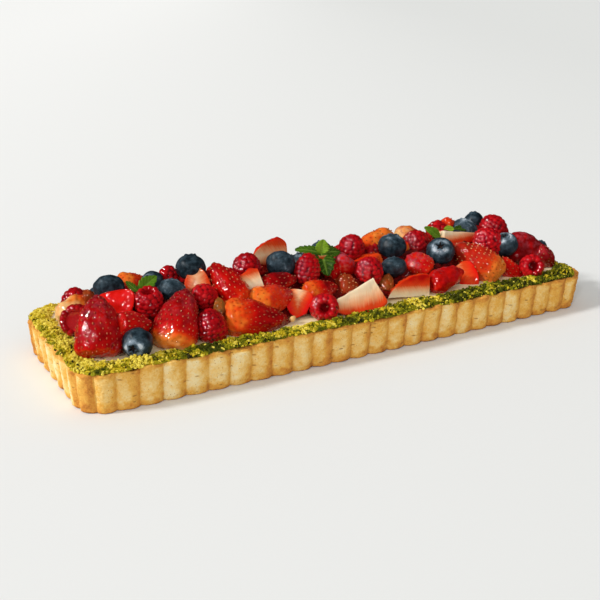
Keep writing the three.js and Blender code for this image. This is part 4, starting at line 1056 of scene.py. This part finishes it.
# Rows down the back: y, z, first and last x, and how many. Their kinds follow one another in turn.
BACK_ROWS = [
    (34, 31, -143, 151, 14), (21, 34, -128, 144, 9), (8, 38, -144, 148, 15), (27.5, 32.5, -134, 146, 12),
]
BACK_KINDS = ["strawberry", "raspberry", "strawberry", "blueberry", "raspberry"]


def back_fruit():
    """The two rows down the back, laid as the solids are, and two low ones that fill the gaps:
    evenly along x with a little scatter, in a repeating order of kinds. Strawberries lie about 20 mm
    long and 17 mm wide. Gives the kind and the row of each."""
    numbers = tart_random(5)
    for row, (row_y, row_z, first, last, count) in enumerate(BACK_ROWS):
        for i in range(count):
            x = first + (last - first) * i / (count - 1) + 3 * (next(numbers) - 0.5)
            y = row_y + 3 * (next(numbers) - 0.5)
            z = row_z + 2 * (next(numbers) - 0.5)
            kind = BACK_KINDS[(i * 3 + row) % len(BACK_KINDS)]
            turn = FULL_TURN * next(numbers)
            if kind == "strawberry":
                dx, dy = 10 * math.cos(turn), 3 * math.sin(turn)
                looks = dict(ripe=(0.2 + 0.1 * (i % 5), 0.68, 0.8), shoulder=0.1 + 0.06 * (i % 4))
                fruit = ([x - dx, y - dy, z - 2], [x + dx, y + dy, z + 2], 17, looks)
            else:
                width = (15 if kind == "blueberry" else 16) + 1.5 * next(numbers)
                fruit = ([x, y, z], width, width * 0.92, [math.cos(turn), math.sin(turn), 0.8], {})
            yield kind, fruit


# Each kind's open fruit, its maker and material, the first seeds of its open pieces and of its
# pieces in the bed, and the grid of one in the bed
KINDS = {
    "strawberry": (STRAWBERRIES, strawberry, material_of(glazed_strawberry), 100, 400, (40, 52)),
    "raspberry": (RASPBERRIES, raspberry, material_of(glazed_raspberry), 200, 500, (60, 72)),
    "blueberry": (BLUEBERRIES, blueberry, material_of(bloomed_blueberry), 300, 600, (40, 48)),
}
PISTACHIO = material_of(chopped_pistachio)
MINT = material_of(mint_leaf)

for kind, fruit in back_fruit():
    BED_FRUIT[kind].append(fruit)

make_piece("pastry_case", pastry_case(), material_of(baked_shortcrust), ["crust"])
make_piece("cream_surface", cream(), material_of(set_pastry_cream), ["cream_filling"])
make_piece("crumb_base", crumb_base(), PISTACHIO, ["pistachio_crumb"])
for name, sort in CRUMB_SORTS.items():
    make_piece(name, crumb_chips(*sort), PISTACHIO, flat=True)
make_piece("fruit_bed_glaze", glaze_bed(), material_of(set_fruit_glaze), ["fruit_bed"])

for kind, (rows, make, material, first_seed, _, _) in KINDS.items():
    for seed, (number, row) in enumerate(rows.items(), first_seed):
        name = f"{kind}_{number:02d}"
        make_piece("fine_" + name, make(*row, seed), material, [name])
for name, leaves in MINT_LEAVES.items():
    make_piece("fine_" + name, joined([mint_blade(*leaf) for leaf in leaves]), MINT, [name])
for kind, (_, make, material, _, first_seed, grid) in KINDS.items():
    bed = joined([make(*row, seed, *grid) for seed, row in enumerate(BED_FRUIT[kind], first_seed)])
    make_piece("bed_" + kind[:-1] + "ies", bed, material)


# Studio: a pale floor, a broad soft light from the left and behind, and a pale sky for fill

def studio_floor():
    """A flat square under the tart, 30 m each way, wide enough to fill the picture."""
    reach = 30
    mesh = bpy.data.meshes.new("studio_floor")
    corners = [(-reach, -reach, 0), (reach, -reach, 0), (reach, reach, 0), (-reach, reach, 0)]
    mesh.from_pydata(corners, [], [(0, 1, 2, 3)])
    mesh.materials.append(material_of(studio_paper))
    floor = bpy.data.objects.new("studio_floor", mesh)
    floor.visible_glossy = False
    bpy.context.scene.collection.objects.link(floor)
    floor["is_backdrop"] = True


def far_lamp(name, source, spread, strength, mirrored=True):
    """A distant lamp that shines from the direction source, its disc spread degrees wide. One that
    is not mirrored lights the fruit but leaves no shine on it."""
    lamp = bpy.data.lights.new(name, "SUN")
    lamp.energy, lamp.angle = strength, math.radians(spread)
    holder = bpy.data.objects.new(name, lamp)
    x, y, z = unit(source)
    holder.rotation_euler = (math.acos(z), 0, math.atan2(y, x) + math.pi / 2)
    holder.visible_glossy = mirrored
    bpy.context.scene.collection.objects.link(holder)


def photo_camera():
    """The camera at the photograph's place: pitch in degrees, focal length and optical centre in the
    photograph's pixels, and its place in millimetres."""
    pitch, focal, centre, frame_width = 22.323, 914.04, (265.87, 332.10), 600
    place = np.array([-288.0, -457.4, 216.4])
    lens = bpy.data.cameras.new("photo_camera")
    lens.sensor_width = 36
    lens.lens = focal / frame_width * lens.sensor_width
    lens.shift_x = (frame_width / 2 - centre[0]) / frame_width
    lens.shift_y = (centre[1] - frame_width / 2) / frame_width
    lens.clip_end = 100
    camera = bpy.data.objects.new("photo_camera", lens)
    camera.location = place * MM
    camera.rotation_euler = (math.radians(90 - pitch), 0, math.radians(-CAMERA_YAW))
    bpy.context.scene.collection.objects.link(camera)
    bpy.context.scene.camera = camera


def pale_sky():
    """An even pale sky that fills the shadows and leaves no shine."""
    sky = bpy.data.worlds.new("studio_sky")
    sky.use_nodes = True
    feed(sky.node_tree, sky.node_tree.nodes["Background"], {"Color": (1.0, 1.0, 0.99, 1), "Strength": 0.52})
    sky.cycles_visibility.glossy = False
    bpy.context.scene.world = sky


studio_floor()
far_lamp("key_light", (-0.82, 0.16, 0.56), spread=9, strength=2.3)
far_lamp("window_glint", (-0.7, -0.5, 0.52), spread=6, strength=0.55)
far_lamp("front_fill", (-0.1, -0.85, 0.5), spread=40, strength=0.4, mirrored=False)
photo_camera()
pale_sky()
bpy.context.scene.view_settings.view_transform = "Standard"

boxes = {"cad": CAD_BOX, "visual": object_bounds()}
{name: [list(map(float, corner)) for corner in box] for name, box in boxes.items()}
